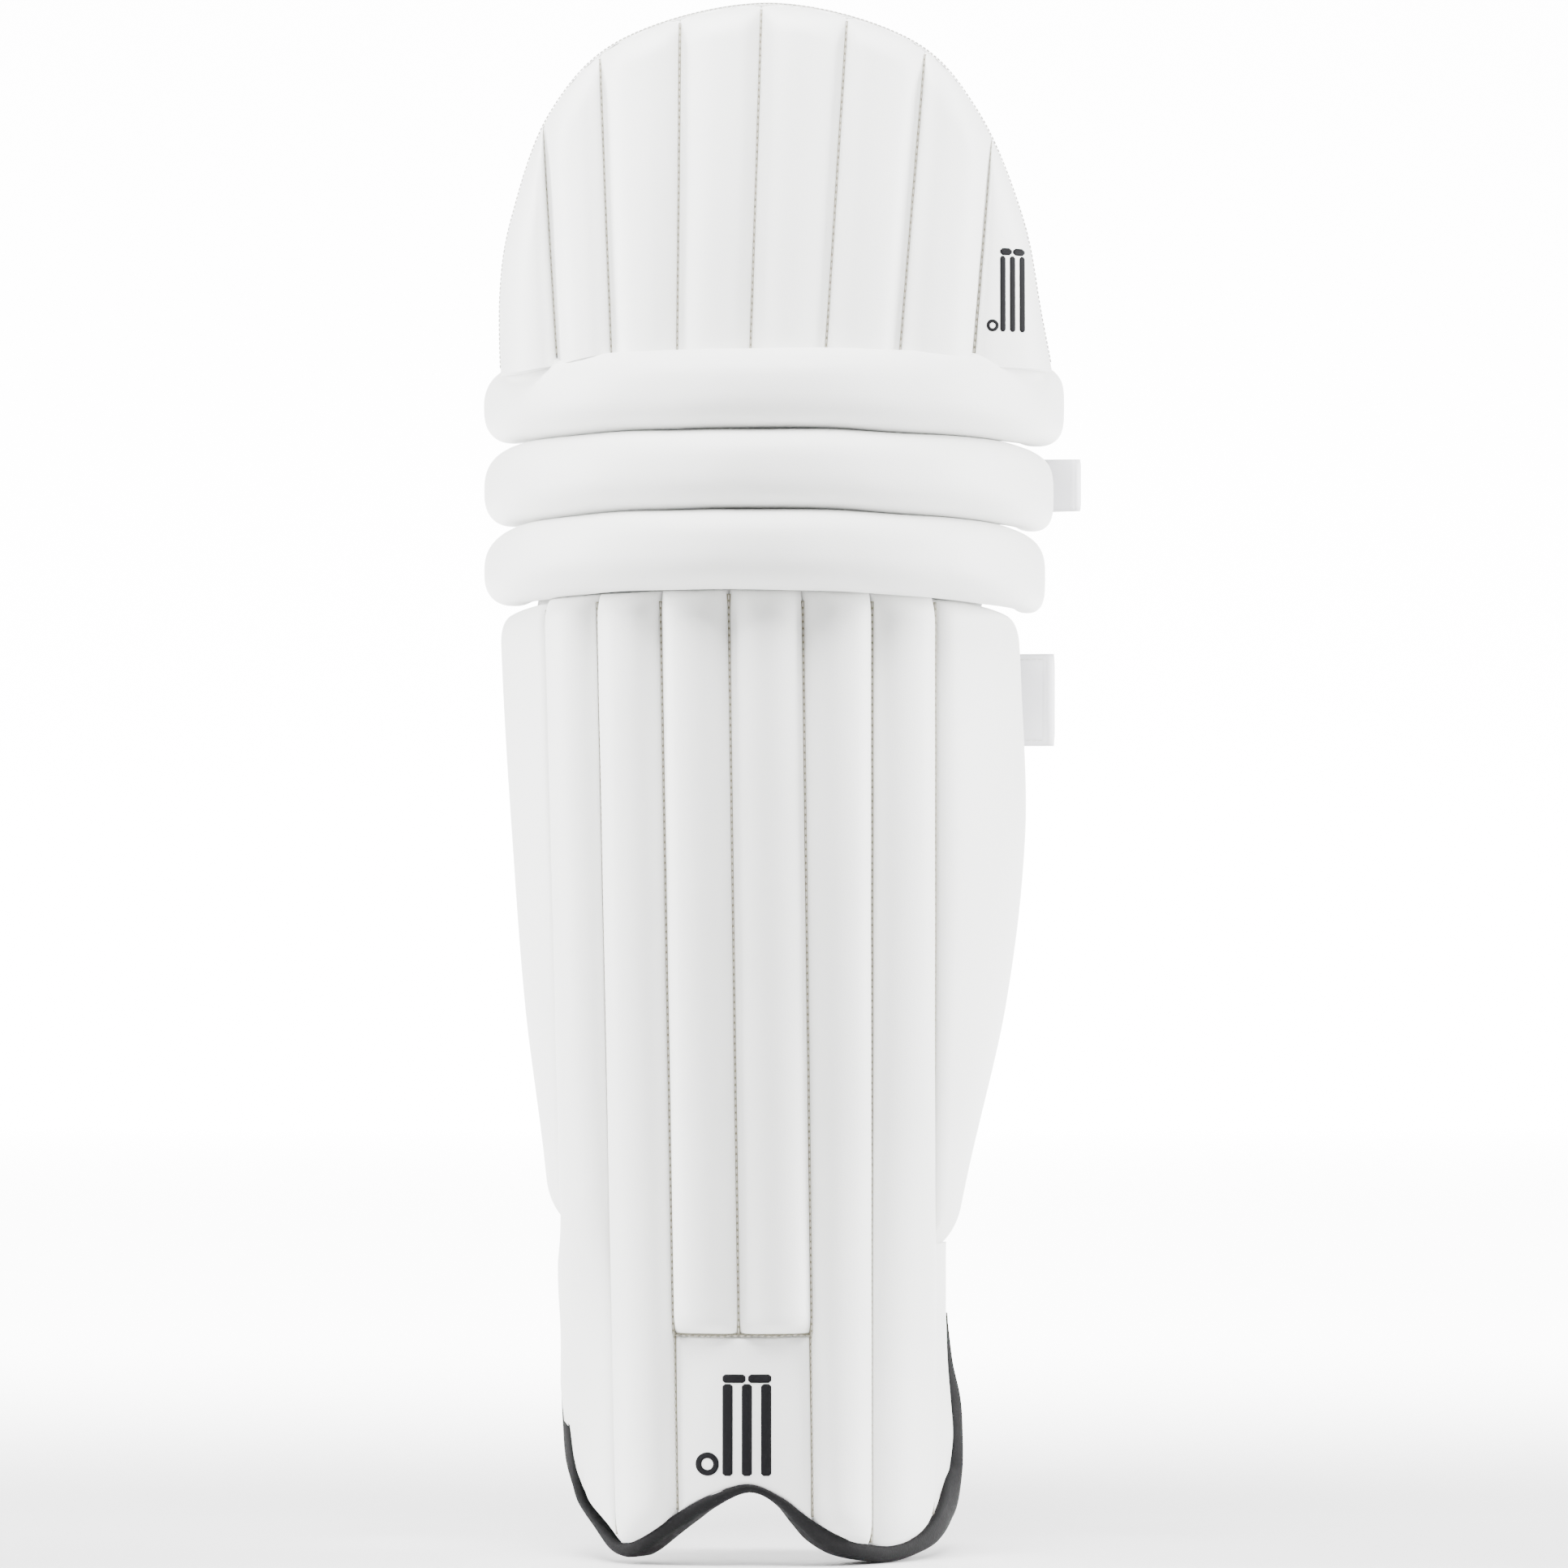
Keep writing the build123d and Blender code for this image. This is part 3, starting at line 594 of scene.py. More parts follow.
def shin_channel_grid(k):
    crest = SHIN_CREST - (1.2 if k in (0, 5) else 0.0)
    over_instep = k in (2, 3)

    def place(u, v):
        s = 2 * u - 1

        def angle_for(z):
            return lerp(shin_seam(k, z), shin_seam(k + 1, z), u)

        low = foot_low(point(shin_plan, angle_for(30), 14, 30)[0])
        if over_instep:
            low = INSTEP_TOP + 0.3
        high = shin_top(angle_for(430)) + 1.5
        z = lerp(low, high, v)
        angle = angle_for(z)
        rise = (crest - SHIN_VALLEY) * channel_profile(s)
        if k == 0:
            rise *= lerp(1.0, 0.42, ease((170 - z) / 70))
        ends = 0.25 + 0.75 * end_round(high - z, 13)
        if over_instep:
            ends = min(ends, 0.12 + 0.88 * end_round(z - low, 9))
        elif z < 60:
            gap = foot_gap(point(shin_plan, angle, 14, z)[0], z)
            ends = min(ends, 0.22 + 0.78 * end_round(gap, 12))
        bump = 0.35 * wobble(angle, k * 31.0, z / 1.8, 30, 3.1) * channel_profile(s)
        out = SHIN_VALLEY + (rise + bump) * ends
        if over_instep:
            out -= 1.5 * (1 - end_round(z - low, 5)) * (1 - abs(s) ** 2)
        return thick_point(shin_plan, angle, out, 0.2, z)

    return grids(rows_between(ROWS), ends_dense(COLS), place)


finish_piece(skin("shin_face", *map(shin_channel_grid, range(6))), M_FACE, "shin",
             ["shin_face_cover"] + ["shin_rod_%d" % n for n in range(1, 7)])


def thread(line):
    """A run of stitches along a seam."""
    return [point(plan, angle, out + 0.1, z) for plan, angle, out, z in line], 3.1, 2.4, 0.4


def crease_shade_strips(name, body, lines, half=0.8):
    """Narrow dark strips at the bottom of the seams, painted shade for the creases. A line is a
    list of (plan, angle, out, z).
    """
    verts, faces = [], []
    for line in lines:
        base = len(verts)
        for plan, angle, out, z in line:
            turn = math.degrees(half / (plan(z)[2] + out))
            for da, do in ((-turn, -1.5), (-turn, 0.0), (turn, 0.0), (turn, -1.5)):
                verts.append(point(plan, angle + da, out + do, z))
        tube_faces(faces, base, 4, len(line))
    finish_piece(link(name, verts, faces), M_CREASE_SHADE, body)


# Thread along the shin seams, with dark strips under it as painted crease shade.
runs, crease_shade_lines = [], []
for k in range(7):
    low = 165 if k == 0 else (INSTEP_TOP if k == 3 else 0)
    line = []
    for i in range(140):
        z = lerp(0, 441, i / 139)
        angle = shin_seam(k, z)
        x = point(shin_plan, angle, 12, z)[0]
        floor = max(low, foot_inner(x) + 1)
        if z < floor or z > shin_top(angle) - 0.5:
            continue
        depth = LINE_DEPTH
        if k == 0:
            depth *= lerp(1.0, 0.5, ease((170 - z) / 70))
        if k in (2, 4) and z < INSTEP_TOP:
            depth -= 1.2
        line.append((shin_plan, angle, SHIN_VALLEY + depth, z))
    crease_shade_lines.append(line)
    runs.append(thread(line))
# A dark strip along the top of the instep panel, painted crease shade, with a run of stitches along
# it.
line = []
for i in range(60):
    x = lerp(-37, 30, i / 59)
    z = INSTEP_TOP + 0.2 + 0.5 * wobble(x, 0, 0, 9, 0.7)
    drop = 10.6 + 0.5 * math.sin(math.pi * clamp((x + 37) / 67))
    line.append((shin_plan, angle_at(shin_plan, x, drop, z), drop, z))
crossing = [[point(plan, angle, out + rise, z + lift) for plan, angle, out, z in line]
            for rise, lift in ((-1.5, -0.6), (0.0, -0.6), (0.0, 0.6), (-1.5, 0.6))]
finish_piece(tube("instep_crease_shade", list(zip(*crossing))), M_CREASE_SHADE, "shin")
runs.append((crossing[1], 2.9, 2.2, 0.42))
make_stitches("shin_stitching", M_THREAD, "shin", runs)
crease_shade_strips("shin_crease_shade", "shin", crease_shade_lines)


# Instep panel: flat, sewn down on three sides.
def instep_out(x, z):
    left = point(shin_plan, shin_seam(2, z), 12.5, z)[0]
    right = point(shin_plan, shin_seam(4, z), 12.5, z)[0]
    s = clamp(2 * (x - left) / (right - left) - 1, -1, 1)
    low, high = foot_inner(x), INSTEP_TOP - 0.2
    edge = min(end_round((1 - abs(s)) * 31, 6), end_round(high - z, 5), end_round(z - low + 2, 5))
    puff = 1.8 * (1 - abs(s) ** 3) * math.sin(math.pi * clamp((z - low) / (high - low)))
    return 8.3 + 3.4 * edge + puff + 0.25 * wobble(x, 4.0, z, 18, 2.2)


def instep_place(u, v):
    z = lerp(foot_inner(lerp(-34, 29.5, u)), INSTEP_TOP - 0.2, v)
    angle = lerp(shin_seam(2, z), shin_seam(4, z), lerp(0.004, 0.996, u))
    x = point(shin_plan, angle, 11.7, z)[0]
    return thick_point(shin_plan, angle, instep_out(x, z), 0.2, z)


instep = skin("instep_panel", grids(rows_between(80), ends_dense(60), instep_place))
finish_piece(instep, M_INSTEP, "shin", ["instep_panel_cover", "instep_foam"])


def decal(name, body, spots, surface, plan):
    """Flat print lying on a surface. A spot is a grid of (x, z); surface gives the height out."""
    layers = [[[[point(plan, angle_at(plan, x, surface(x, z), z), surface(x, z) + up, z)
                 for x, z in row] for row in grid] for up in (0.22, -0.25)] for grid in spots]
    finish_piece(skin(name, *layers), M_PRINT, body)


def bar(x0, x1, z0, z1):
    """A grid over a bar with rounded ends, about a millimetre a cell."""
    nx, nz = max(3, int(abs(x1 - x0) / 0.9)), max(3, int(abs(z1 - z0) / 0.9))
    grid = []
    for r in range(nz + 1):
        z = lerp(z0, z1, r / nz)
        near = min(z - z0, z1 - z)
        pull = 1.2 - math.sqrt(max(0.0, 1.44 - (1.2 - min(near, 1.2)) ** 2)) if near < 1.2 else 0.0
        pull *= min(1.0, (x1 - x0) / 4)
        grid.append([(lerp(x0 + pull, x1 - pull, c / nx), z) for c in range(nx + 1)])
    return grid


def ring(cx, cz, outer, inner):
    grid = []
    for r in range(4):
        radius = lerp(inner, outer, r / 3)
        grid.append([(cx + radius * math.cos(2 * math.pi * c / 48),
                      cz + radius * math.sin(2 * math.pi * c / 48)) for c in range(49)])
    return grid


def wicket(x0, z0, wide, tall_size):
    """Three stumps, two bails and a ball: a plain picture of the game."""
    stump, gap = wide * 0.15, wide * 0.13
    left = x0 + wide * 0.30
    spots = []
    for k in range(3):
        a = left + k * (stump + gap)
        spots.append(bar(a, a + stump, z0, z0 + tall_size * 0.86))
    for k in range(2):
        a = left + k * (stump + gap) + stump * (0.0 if k == 0 else 0.62)
        b = left + (k + 1) * (stump + gap) + stump * (0.38 if k == 0 else 1.0)
        spots.append(bar(a, b, z0 + tall_size * 0.87, z0 + tall_size * 0.95))
    spots.append(ring(x0 + wide * 0.08, z0 + wide * 0.17, wide * 0.17, wide * 0.085))
    return spots


decal("instep_print", "shin", wicket(-22, 41, 31, 48), instep_out, shin_plan)

# Side strip below the outer wing.
def strip_place(u, v):
    z = lerp(foot_low(85 + 3 * u), 142, v)
    angle_in, out_in = place_at(foot_right_x(z) + 0.8, z, 9.6, 80.5)
    angle = lerp(shin_seam(6, z) + 0.1, angle_in, u)
    out = lerp(7.0, 9.6, end_round(u, 0.4)) + (out_in - 9.6) * ease(u)
    return thick_point(shin_plan, angle, out, 0.2, z)


strip = skin("side_strip_face", grids(rows_between(80), ends_dense(19), strip_place))
finish_piece(strip, M_FACE, "shin", ["side_strip", "side_strip_backing"])


# ---- Wings ----
def wing_grids(side, low_z, seam, reach, thick):
    """Grids of a wing's padded face and of its lining."""
    def place(u, v, lining):
        z0 = lerp(low_z, shin_top(seam(430)), v)
        y = -(LEG_DEPTH + 8) * math.cos(math.radians(lerp(seam(z0), reach(z0), u)))
        high = seam_limit(0, -1, y, 0.2) + 0.4
        z = lerp(low_z, high, v)
        a0, a1 = seam(z), reach(z)
        span = abs(a1 - a0) * math.radians(1) * 105
        at_foot = end_round(z - low_z + 1.5, 22)
        if lining:
            angle = lerp(a0, a1, lerp(0.008, 0.992, u))
            soft = min(end_round(u * span, 5), end_round((1 - u) * span, 5), at_foot)
            return thick_point(shin_plan, angle, -1.6 - 1.7 * soft, -1.4, z)
        angle = lerp(a0, a1, u)
        at_seam = end_round(u * span, 9)
        at_rear = end_round((1 - u) * span, 13)
        at_top = 0.35 + 0.65 * end_round(high - z, 11)
        puff = 1.0 * math.sin(math.pi * u) + 0.5 * wobble(angle, 7.0, z / 2, 45, side * 5.3)
        full = min(at_seam * 0.45 + 0.55, at_rear, at_foot)
        out = -1.4 + (thick + 1.4 + puff) * full * (0.6 + 0.4 * at_top)
        return thick_point(shin_plan, angle, out, -1.5, z)

    return [grids(rows_between(ROWS), rows_between(60), lambda u, v: place(u, v, lining))
            for lining in (False, True)]


for name, body, side, low_z, seam, reach, thick in (
    ("outer_wing", "outer_wing", 1, 139, lambda z: shin_seam(6, z) + 0.35,
     lambda z: wing_reach(z, OUTER_REACH), 13.6),
    ("inner_wing", "shin", -1, 150, lambda z: shin_seam(0, z) - 0.25,
     lambda z: -wing_reach(z, INNER_REACH), 11.8),
):
    face, inside = wing_grids(side, low_z, seam, reach, thick)
    finish_piece(skin(name + "_face", face), M_FACE, body,
                 [name + "_cover", name + "_foam"])
    finish_piece(skin(name + "_inside", inside), M_LINING, body,
                 [name + "_lining"])


# ---- Knee rolls ----
# How deep each roll is at its right end, and how far each seam leans across the pad.
ROLL_RIGHT = [17.5, 21.5, 26.5]
SEAM_SKEW = [-1.6, -0.9, -0.4, 1.2]


def wave(k, x):
    """How far a sewn seam between rolls wanders from level, seen from the front."""
    return SEAM_SKEW[k] * x / 120 + 0.7 * wobble(x, k * 9.0, 0, 34, 4.4)


def roll_loops(k):
    loops = []
    steps = 170
    around = 44
    for i in range(steps + 1):
        s = 2 * i / steps - 1
        s = math.copysign(abs(s) ** 0.82, s)
        angle = 91 * s
        reach = (1 - abs(s)) * 91 * math.radians(1) * 118
        end = end_round(reach, 5 if s > 0 else 9)
        deep = lerp(38.0, ROLL_RIGHT[k] if s > 0 else 27.5, math.sin(math.radians(abs(angle))) ** 2)
        loop = []
        for j in range(around):
            turn = 2 * math.pi * j / around
            c, n = math.cos(turn), math.sin(turn)
            fat = math.copysign(abs(c) ** 0.85, c)
            high = math.copysign(abs(n) ** (0.80 if s < 0 else lerp(0.80, 0.55, s)), n)
            mid = deep / 2
            out = mid + fat * mid * (0.50 + 0.50 * end)
            x, y = point(knee_plan, angle, out, 0)[:2]
            z0 = seam_limit(k, 1, y, 0.05) + wave(k, x)
            z1 = seam_limit(k + 1, -1, y, 0.05) + wave(k + 1, x)
            centre, half = (z0 + z1) / 2, (z1 - z0) / 2
            z = centre + high * half * ((0.70 + 0.30 * end) if s < 0 else (0.86 + 0.14 * end))
            rough = 0.45 * wobble(x, y * 0.6, z * 1.5, 26, 1.7 + k)
            loop.append(point(knee_plan, angle, out + rough * clamp(fat), z))
        loops.append(loop)
    return loops


for k, name in enumerate(("lower", "middle", "upper")):
    roll = tube(name + "_knee_roll", roll_loops(k))
    finish_piece(roll, M_FACE, name + "_knee_roll",
                 [name + "_knee_roll_cover", name + "_knee_roll_core"])


# ---- Top hat ----
hat_face_line = inset(hat_line, -1.6)
peak = max(range(len(hat_face_line)), key=lambda i: hat_face_line[i][1])
hat_left, hat_right = side_x(hat_face_line[:peak + 1]), side_x(hat_face_line[peak:])
hat_peak_z = hat_face_line[peak][1]


def seam_meets_edge(x_of):
    """Height at which a seam, rising from behind the rolls, runs into the top hat's edge."""
    low, high = 540.0, hat_peak_z
    for _ in range(40):
        mid = (low + high) / 2
        if hat_left(mid) < x_of(mid) < hat_right(mid):
            low = mid
        else:
            high = mid
    return (low + high) / 2


def hat_column(k, u):
    """x of a column of channel k as it rises, and the height where it ends."""
    def x_of(z):
        left = hat_left(z) if k == 0 else hat_seam_x(k - 1, z)
        right = hat_right(z) if k == 7 else hat_seam_x(k, z)
        if k == 0:
            right = max(right, left)
        if k == 7:
            left = min(left, right)
        return lerp(left, right, u)

    if k in (0, 7):
        return x_of, seam_meets_edge(lambda z: hat_seam_x(min(k, 6), z))
    return x_of, seam_meets_edge(x_of)


HAT_NEAR = hat_face_line[:-3:6] + [hat_face_line[-1]]


def edge_distance(x, z):
    return segment_distance(HAT_NEAR, x, z)


def hat_floor(away):
    """Height out of the top hat's seams, lower near its edge."""
    return lerp(4.5, HAT_VALLEY, end_round(away + 0.5, 7))


def hat_out(k, s, x, z):
    crest, power = (15.0, 5.0) if k == 7 else (HAT_CREST, 2.6)
    rise = (crest - HAT_VALLEY) * channel_profile(s, power, 1.75)
    if k == 0 and s < 0:
        rise = (crest - HAT_VALLEY) * channel_profile(s * 0.4)
    if k == 7 and s > 0:
        rise = crest - HAT_VALLEY
    away = edge_distance(x, z)
    near = end_round(away, 13)
    rise *= near
    bump = 0.4 * wobble(x, k * 17.0, z / 2, 28, 9.2) * near
    return hat_floor(away) + rise + bump


def hat_channel_grid(k):
    columns = {u: hat_column(k, u) for u in ends_dense(COLS)}

    def place(u, v):
        x_of, top = columns[u]
        here = x_of(550)
        y = point(hat_plan, angle_at(hat_plan, here, 10, 550), 10, 550)[1]
        foot = seam_limit(3, 1, y, 0.2) - 1.0 + wave(3, here) - 6.5 * ease((abs(here) - 60) / 50)
        z = lerp(foot, top, v)
        x = x_of(z)
        out = hat_out(k, 2 * u - 1, x, z)
        angle = angle_at(hat_plan, x, out, z)
        return thick_point(hat_plan, angle, out, -0.2, z)

    return grids(rows_between(120), ends_dense(COLS), place)


finish_piece(skin("top_hat_face", *map(hat_channel_grid, range(8))), M_FACE, "top_hat",
             ["top_hat_face_cover", "top_hat_side_foam"]
             + ["top_hat_rod_%d" % n for n in range(1, 8)])

# Thread along the top hat's seams, with dark strips under it as painted crease shade.
runs, crease_shade_lines = [], []
for k in range(7):
    top = seam_meets_edge(lambda z: hat_seam_x(k, z))
    line = []
    for i in range(90):
        z = lerp(546.5, top - 2.0, i / 89)
        x = hat_seam_x(k, z)
        away = edge_distance(x, z)
        drop = hat_floor(away) + (LINE_DEPTH - 0.6) * end_round(away, 13)
        line.append((hat_plan, angle_at(hat_plan, x, drop, z), drop, z))
    crease_shade_lines.append(line)
    runs.append(thread(line))
make_stitches("top_hat_stitching", M_THREAD, "top_hat", runs)
crease_shade_strips("top_hat_crease_shade", "top_hat", crease_shade_lines)


def hat_panel_out(x, z):
    left, right = min(hat_seam_x(6, z), hat_right(z)), hat_right(z)
    return hat_out(7, clamp(2 * (x - left) / (right - left) - 1, -1, 1), x, z)


decal("top_hat_print", "top_hat", wicket(108, 557, 16, 40), hat_panel_out, hat_plan)


hat_tape_section = []  # (inset, out) of each point round the tape
for j in range(20):
    turn = 2 * math.pi * j / 20
    hat_tape_section.append((-1.7 + 1.9 * math.cos(turn), 0.4 + 7.2 * math.sin(turn)))
hat_tape_line = resample([p for p in hat_line if p[1] > (543 if p[0] > 0 else 540)], 2.0)
loops = []
for x, z, nx, nz in with_normals(hat_tape_line):
    loop = []
    for amount, out in hat_tape_section:
        px, pz = x + nx * amount, z + nz * amount
        loop.append(point(hat_plan, angle_at(hat_plan, px, 8, pz), out, pz))
    loops.append(loop)
finish_piece(tube("top_hat_binding", loops), M_TAPE, "top_hat",
             ["top_hat_edge_binding"])

rows = []
for amount, out in ((-3.1, 6.6), (-0.6, 7.0)):
    rows.append(([point(hat_plan, angle_at(hat_plan, x, 8, z), out, z)
                  for x, z in inset(hat_tape_line, amount)], 2.1, 1.7, 0.32))
make_stitches("top_hat_braid", M_BRAID, "top_hat", rows)


# ---- Black binding of the foot ----
def foot_tape():
    loops = []
    for (xo, zo), (xi, zi) in zip(foot_outer, foot_edge):
        side = ease((zo - 26) / 20) if abs(xo) > 70 else 0.0
        angle_o, out_o = place_at(xo, zo, lerp(11.0, 9.4, side), 84)
        angle_i, out_i = place_at(xi, zi, lerp(11.6, 9.4, side), 80.5)
        shape = [(0.0, -2.0), (0.0, 0.3), (0.2, 0.9), (0.45, 1.2), (0.75, 0.9), (0.96, 0.2),
                 (1.05, -1.4), (1.08, -4.5)]
        loop = []
        for t, up in shape:
            loop.append(point(shin_plan, lerp(angle_i, angle_o, t), lerp(out_i, out_o, t) + up,
                              lerp(zi, zo, t)))
        for t, out in ((1.08, 0.0), (1.06, -4.0), (0.95, -6.9), (0.6, -7.8), (0.1, -7.8),
                       (0.0, -7.1), (0.5, -6.6), (0.85, -4.0), (0.85, 3.0), (0.6, 6.5)):
            loop.append(point(shin_plan, lerp(angle_i, angle_o, t), out, lerp(zi, zo, t)))
        loops.append(loop)
    return tube("foot_binding", loops)


finish_piece(foot_tape(), M_BLACK, "shin", ["edge_binding"])


# ---- Straps ----
# Height of each strap's lower and upper edge.
CALF, KNEE, ANKLE = (370.0, 413.0), (479.0, 503.0), (70.0, 98.0)
STRAP_THICK = 1.9
STRAP_MIDDLE = 16.5  # out of the calf strap's middle, over the inner wing and its two patches


def around(plan, span, places):
    """A strap's path, seen from above, from angles and distances out of a plan."""
    return [point(plan, angle, out, sum(span) / 2)[:2] for angle, out in places]


def ribbon(name, path, span):
    """A flat strap on edge along path, with rounded edges."""
    mid, half_high = (span[0] + span[1]) / 2, (span[1] - span[0]) / 2
    shape = []
    for side in (1, -1):
        for j in range(9):
            half = side * STRAP_THICK / 2 * (0.6 if j in (0, 8) else 1.0)
            shape.append((half, side * lerp(-half_high, half_high, j / 8)))
    return tube(name, [[(x + nx * o, y + ny * o, mid + z) for o, z in shape]
                       for x, y, nx, ny in with_normals(resample(catmull(path, 14), 2.0))])


calf_anchor = around(shin_plan, CALF, [(80, -5), (93, -5), (107, -6)]) + [
    (101, 36), (106, 44), (118, 47), (130, 44), (138, 39)]
calf_path = [(138, 43.5), (127, 56), (104, 79), (60, 101), (0, LEG_DEPTH + 17)] + around(
    shin_plan, CALF, [(-152, STRAP_MIDDLE + 1.5), (-131, STRAP_MIDDLE),
                      (-119, STRAP_MIDDLE), (-107, STRAP_MIDDLE)])
knee_anchor = around(knee_plan, KNEE, [(76, -5.4), (88, -5.4)]) + [
    (122, 22), (136, 22), (150, 20)]
knee_path = [(150, 24), (138, 38), (112, 66), (60, 92), (0, LEG_DEPTH + 8)] + around(
    knee_plan, KNEE, [(-150, 2), (-125, 0), (-106, -6), (-92, -9.3),
                      (-82, -8.7), (-72, -8.6), (-62, -8.6)])
ankle_anchor = around(shin_plan, ANKLE, [(56, -8.4), (68, -8.4), (80, -8.4), (90, -8.4)])
ankle_path = around(shin_plan, ANKLE, [
    (96, -5), (120, -2), (150, 0), (180, 0), (-150, 0), (-125, -4), (-104, -10),
    (-90, -11.6), (-83, -11.1), (-68, -11.1)])


def fold_over(x, y0, y1, lead):
    """Path of the folded end of a strap: out along one layer, round, and back along the other."""
    middle, radius = (y0 + y1) / 2, abs(y1 - y0) / 2
    line = [lead[0]]
    for j in range(9):
        turn = math.pi * (j / 8 - 0.5)
        line.append((x + radius * math.cos(turn) * 1.1, middle + radius * math.sin(turn)))
    return line + [lead[1]]


for name, path, span, body, node in (
    ("calf_strap_tab", calf_anchor, CALF, "outer_wing", "calf_strap_anchor"),
    ("calf_strap_band", calf_path, CALF, "calf_strap", "calf_strap_webbing"),
    ("knee_strap_tab", knee_anchor, KNEE, "middle_knee_roll", "knee_strap_anchor"),
    ("knee_strap_band", knee_path, KNEE, "knee_strap", "knee_strap_webbing"),
    ("ankle_strap_tab", ankle_anchor, ANKLE, "shin", "ankle_strap_anchor"),
    ("ankle_strap_band", ankle_path, ANKLE, "ankle_strap", "ankle_strap_webbing"),
):
    finish_piece(ribbon(name, path, span), M_STRAP, body, [node])


calf_fold_piece = ribbon(
    "calf_strap_fold", fold_over(138, 39, 43.5, ((136.0, 39.8), (136.2, 45.3))), CALF)
finish_piece(calf_fold_piece, M_STRAP, "calf_strap", blend=(
    "outer_wing", "calf_strap", (0.138, 0.0390, 0.3915), (0.138, 0.0435, 0.3915)))
knee_fold_piece = ribbon(
    "knee_strap_fold", fold_over(150, 20, 24, ((148.2, 20.4), (148.3, 25.8))), KNEE)
finish_piece(knee_fold_piece, M_STRAP, "knee_strap", blend=(
    "middle_knee_roll", "knee_strap", (0.150, 0.0200, 0.494), (0.150, 0.0240, 0.494)))

for name, path, span, body in (
    ("calf_strap_hems", calf_path, CALF, "calf_strap"),
    ("calf_tab_hems", calf_anchor, CALF, "outer_wing"),
    ("knee_strap_hems", knee_path, KNEE, "knee_strap"),
    ("ankle_strap_hems", ankle_path, ANKLE, "ankle_strap"),
):
    line = resample(catmull(path, 14), 2.0)
    hems = []
    for z in (span[0] + 2.5, span[1] - 2.5):
        for side in (1.0, -1.0):
            edge = [(x, y, z) for x, y in inset(line, side)]
            hems.append((edge[1:-1], 3.2, 2.3, 0.28))
    make_stitches(name, M_THREAD_WHITE, body, hems)


# ---- Inside of the pad: linings, bolsters, knee cup and strap cushions ----
def lining_sheet(name, plan, columns, rows, low_of, high_of, angle_of, quilt, inner=-3.2):
    """A quilted sheet on the inside of the pad."""
    def place(u, v):
        mid = angle_of(u, 0.5 * (low_of(0) + high_of(0)))
        z = lerp(low_of(mid), high_of(mid), v)
        angle = angle_of(u, z)
        rim = min(end_round(u * 150, 4), end_round((1 - u) * 150, 4))
        thick = 3.6 * (0.35 + 0.65 * rim) * quilt(angle, z)
        return thick_point(plan, angle, inner, -3.2 - thick, z)

    return skin(name, grids(rows_between(rows), rows_between(columns), place))


def quilt_lines(places):
    """Fullness of a lining that is sewn down along upright lines."""
    def sewn(angle, z):
        near = min(abs(angle - place) * math.radians(1) * 95 for place in places)
        return 1 - 0.45 * math.exp(-(near / 2.2) ** 2)
    return sewn


def foot_at(angle):
    x = point(shin_plan, angle, -4, 20)[0]
    return max(foot_inner(clamp(x, -90, 100)) - 1.0, 0.0)


ROLL_MIDDLES = [0.5 * (KNEE_SEAMS[k][0] + KNEE_SEAMS[k + 1][0]) for k in range(3)]
SHIN_CLOTH_TOP, HAT_CLOTH_FOOT = 425.0, 566.0
shin_cloth = lining_sheet(
    "shin_inside", shin_plan, 70, 110, foot_at, lambda a: SHIN_CLOTH_TOP,
    lambda u, z: lerp(-85.4, 78.6, u), quilt_lines((-60, -22, 16, 50)), -0.3)
finish_piece(shin_cloth, M_LINING, "shin", ["shin_lining", "shin_backing"])

stack = ["shin", "lower_knee_roll", "middle_knee_roll", "upper_knee_roll", "top_hat"]
levels = [SHIN_CLOTH_TOP, *ROLL_MIDDLES, HAT_CLOTH_FOOT]


def knee_cloth_plan(z):
    """The shin's plan at the bottom and the top hat's at the top, with the knee's between."""
    if z < 462:
        low, t = shin_plan(z), ease((z - 425) / 37)
        return tuple(lerp(a, b, t) for a, b in zip(low, knee_plan(z)))
    t = ease((z - 528) / 38)
    return tuple(lerp(a, b, t) for a, b in zip(knee_plan(z), hat_plan(z)))


def knee_cloth_angle(u, z):
    left = lerp(-85.4, -87.5, ease((z - 425) / 20))
    right = lerp(78.6, 87.5, ease((z - 425) / 20))
    if z > 524:
        t = ease((z - 524) / 16)
        left = lerp(left, angle_at(knee_cloth_plan, hat_left(z) + 2.0, -3, z), t)
        right = lerp(right, angle_at(knee_cloth_plan, hat_right(z) - 2.0, -3, z), t)
    return lerp(left, right, u)


for k in range(4):
    low, high = levels[k], levels[k + 1]
    cloth_piece = lining_sheet(
        "knee_inside_%d" % (k + 1), knee_cloth_plan, 80, 16, lambda a, low=low: low,
        lambda a, high=high: high, knee_cloth_angle,
        lambda a, z, k=k: 1 - 0.5 * math.exp(-((z - KNEE_SEAMS[k][0]) / 3.0) ** 2))
    start, end = KNEE_SEAMS[k][0] - 8, KNEE_SEAMS[k][0] + 8
    swaps = [stack[k + 1] + "_lining"] if k < 3 else []
    finish_piece(cloth_piece, M_LINING, stack[k], swaps, blend=(
        stack[k], stack[k + 1], (0, -0.06, start * MM), (0, -0.06, end * MM)))


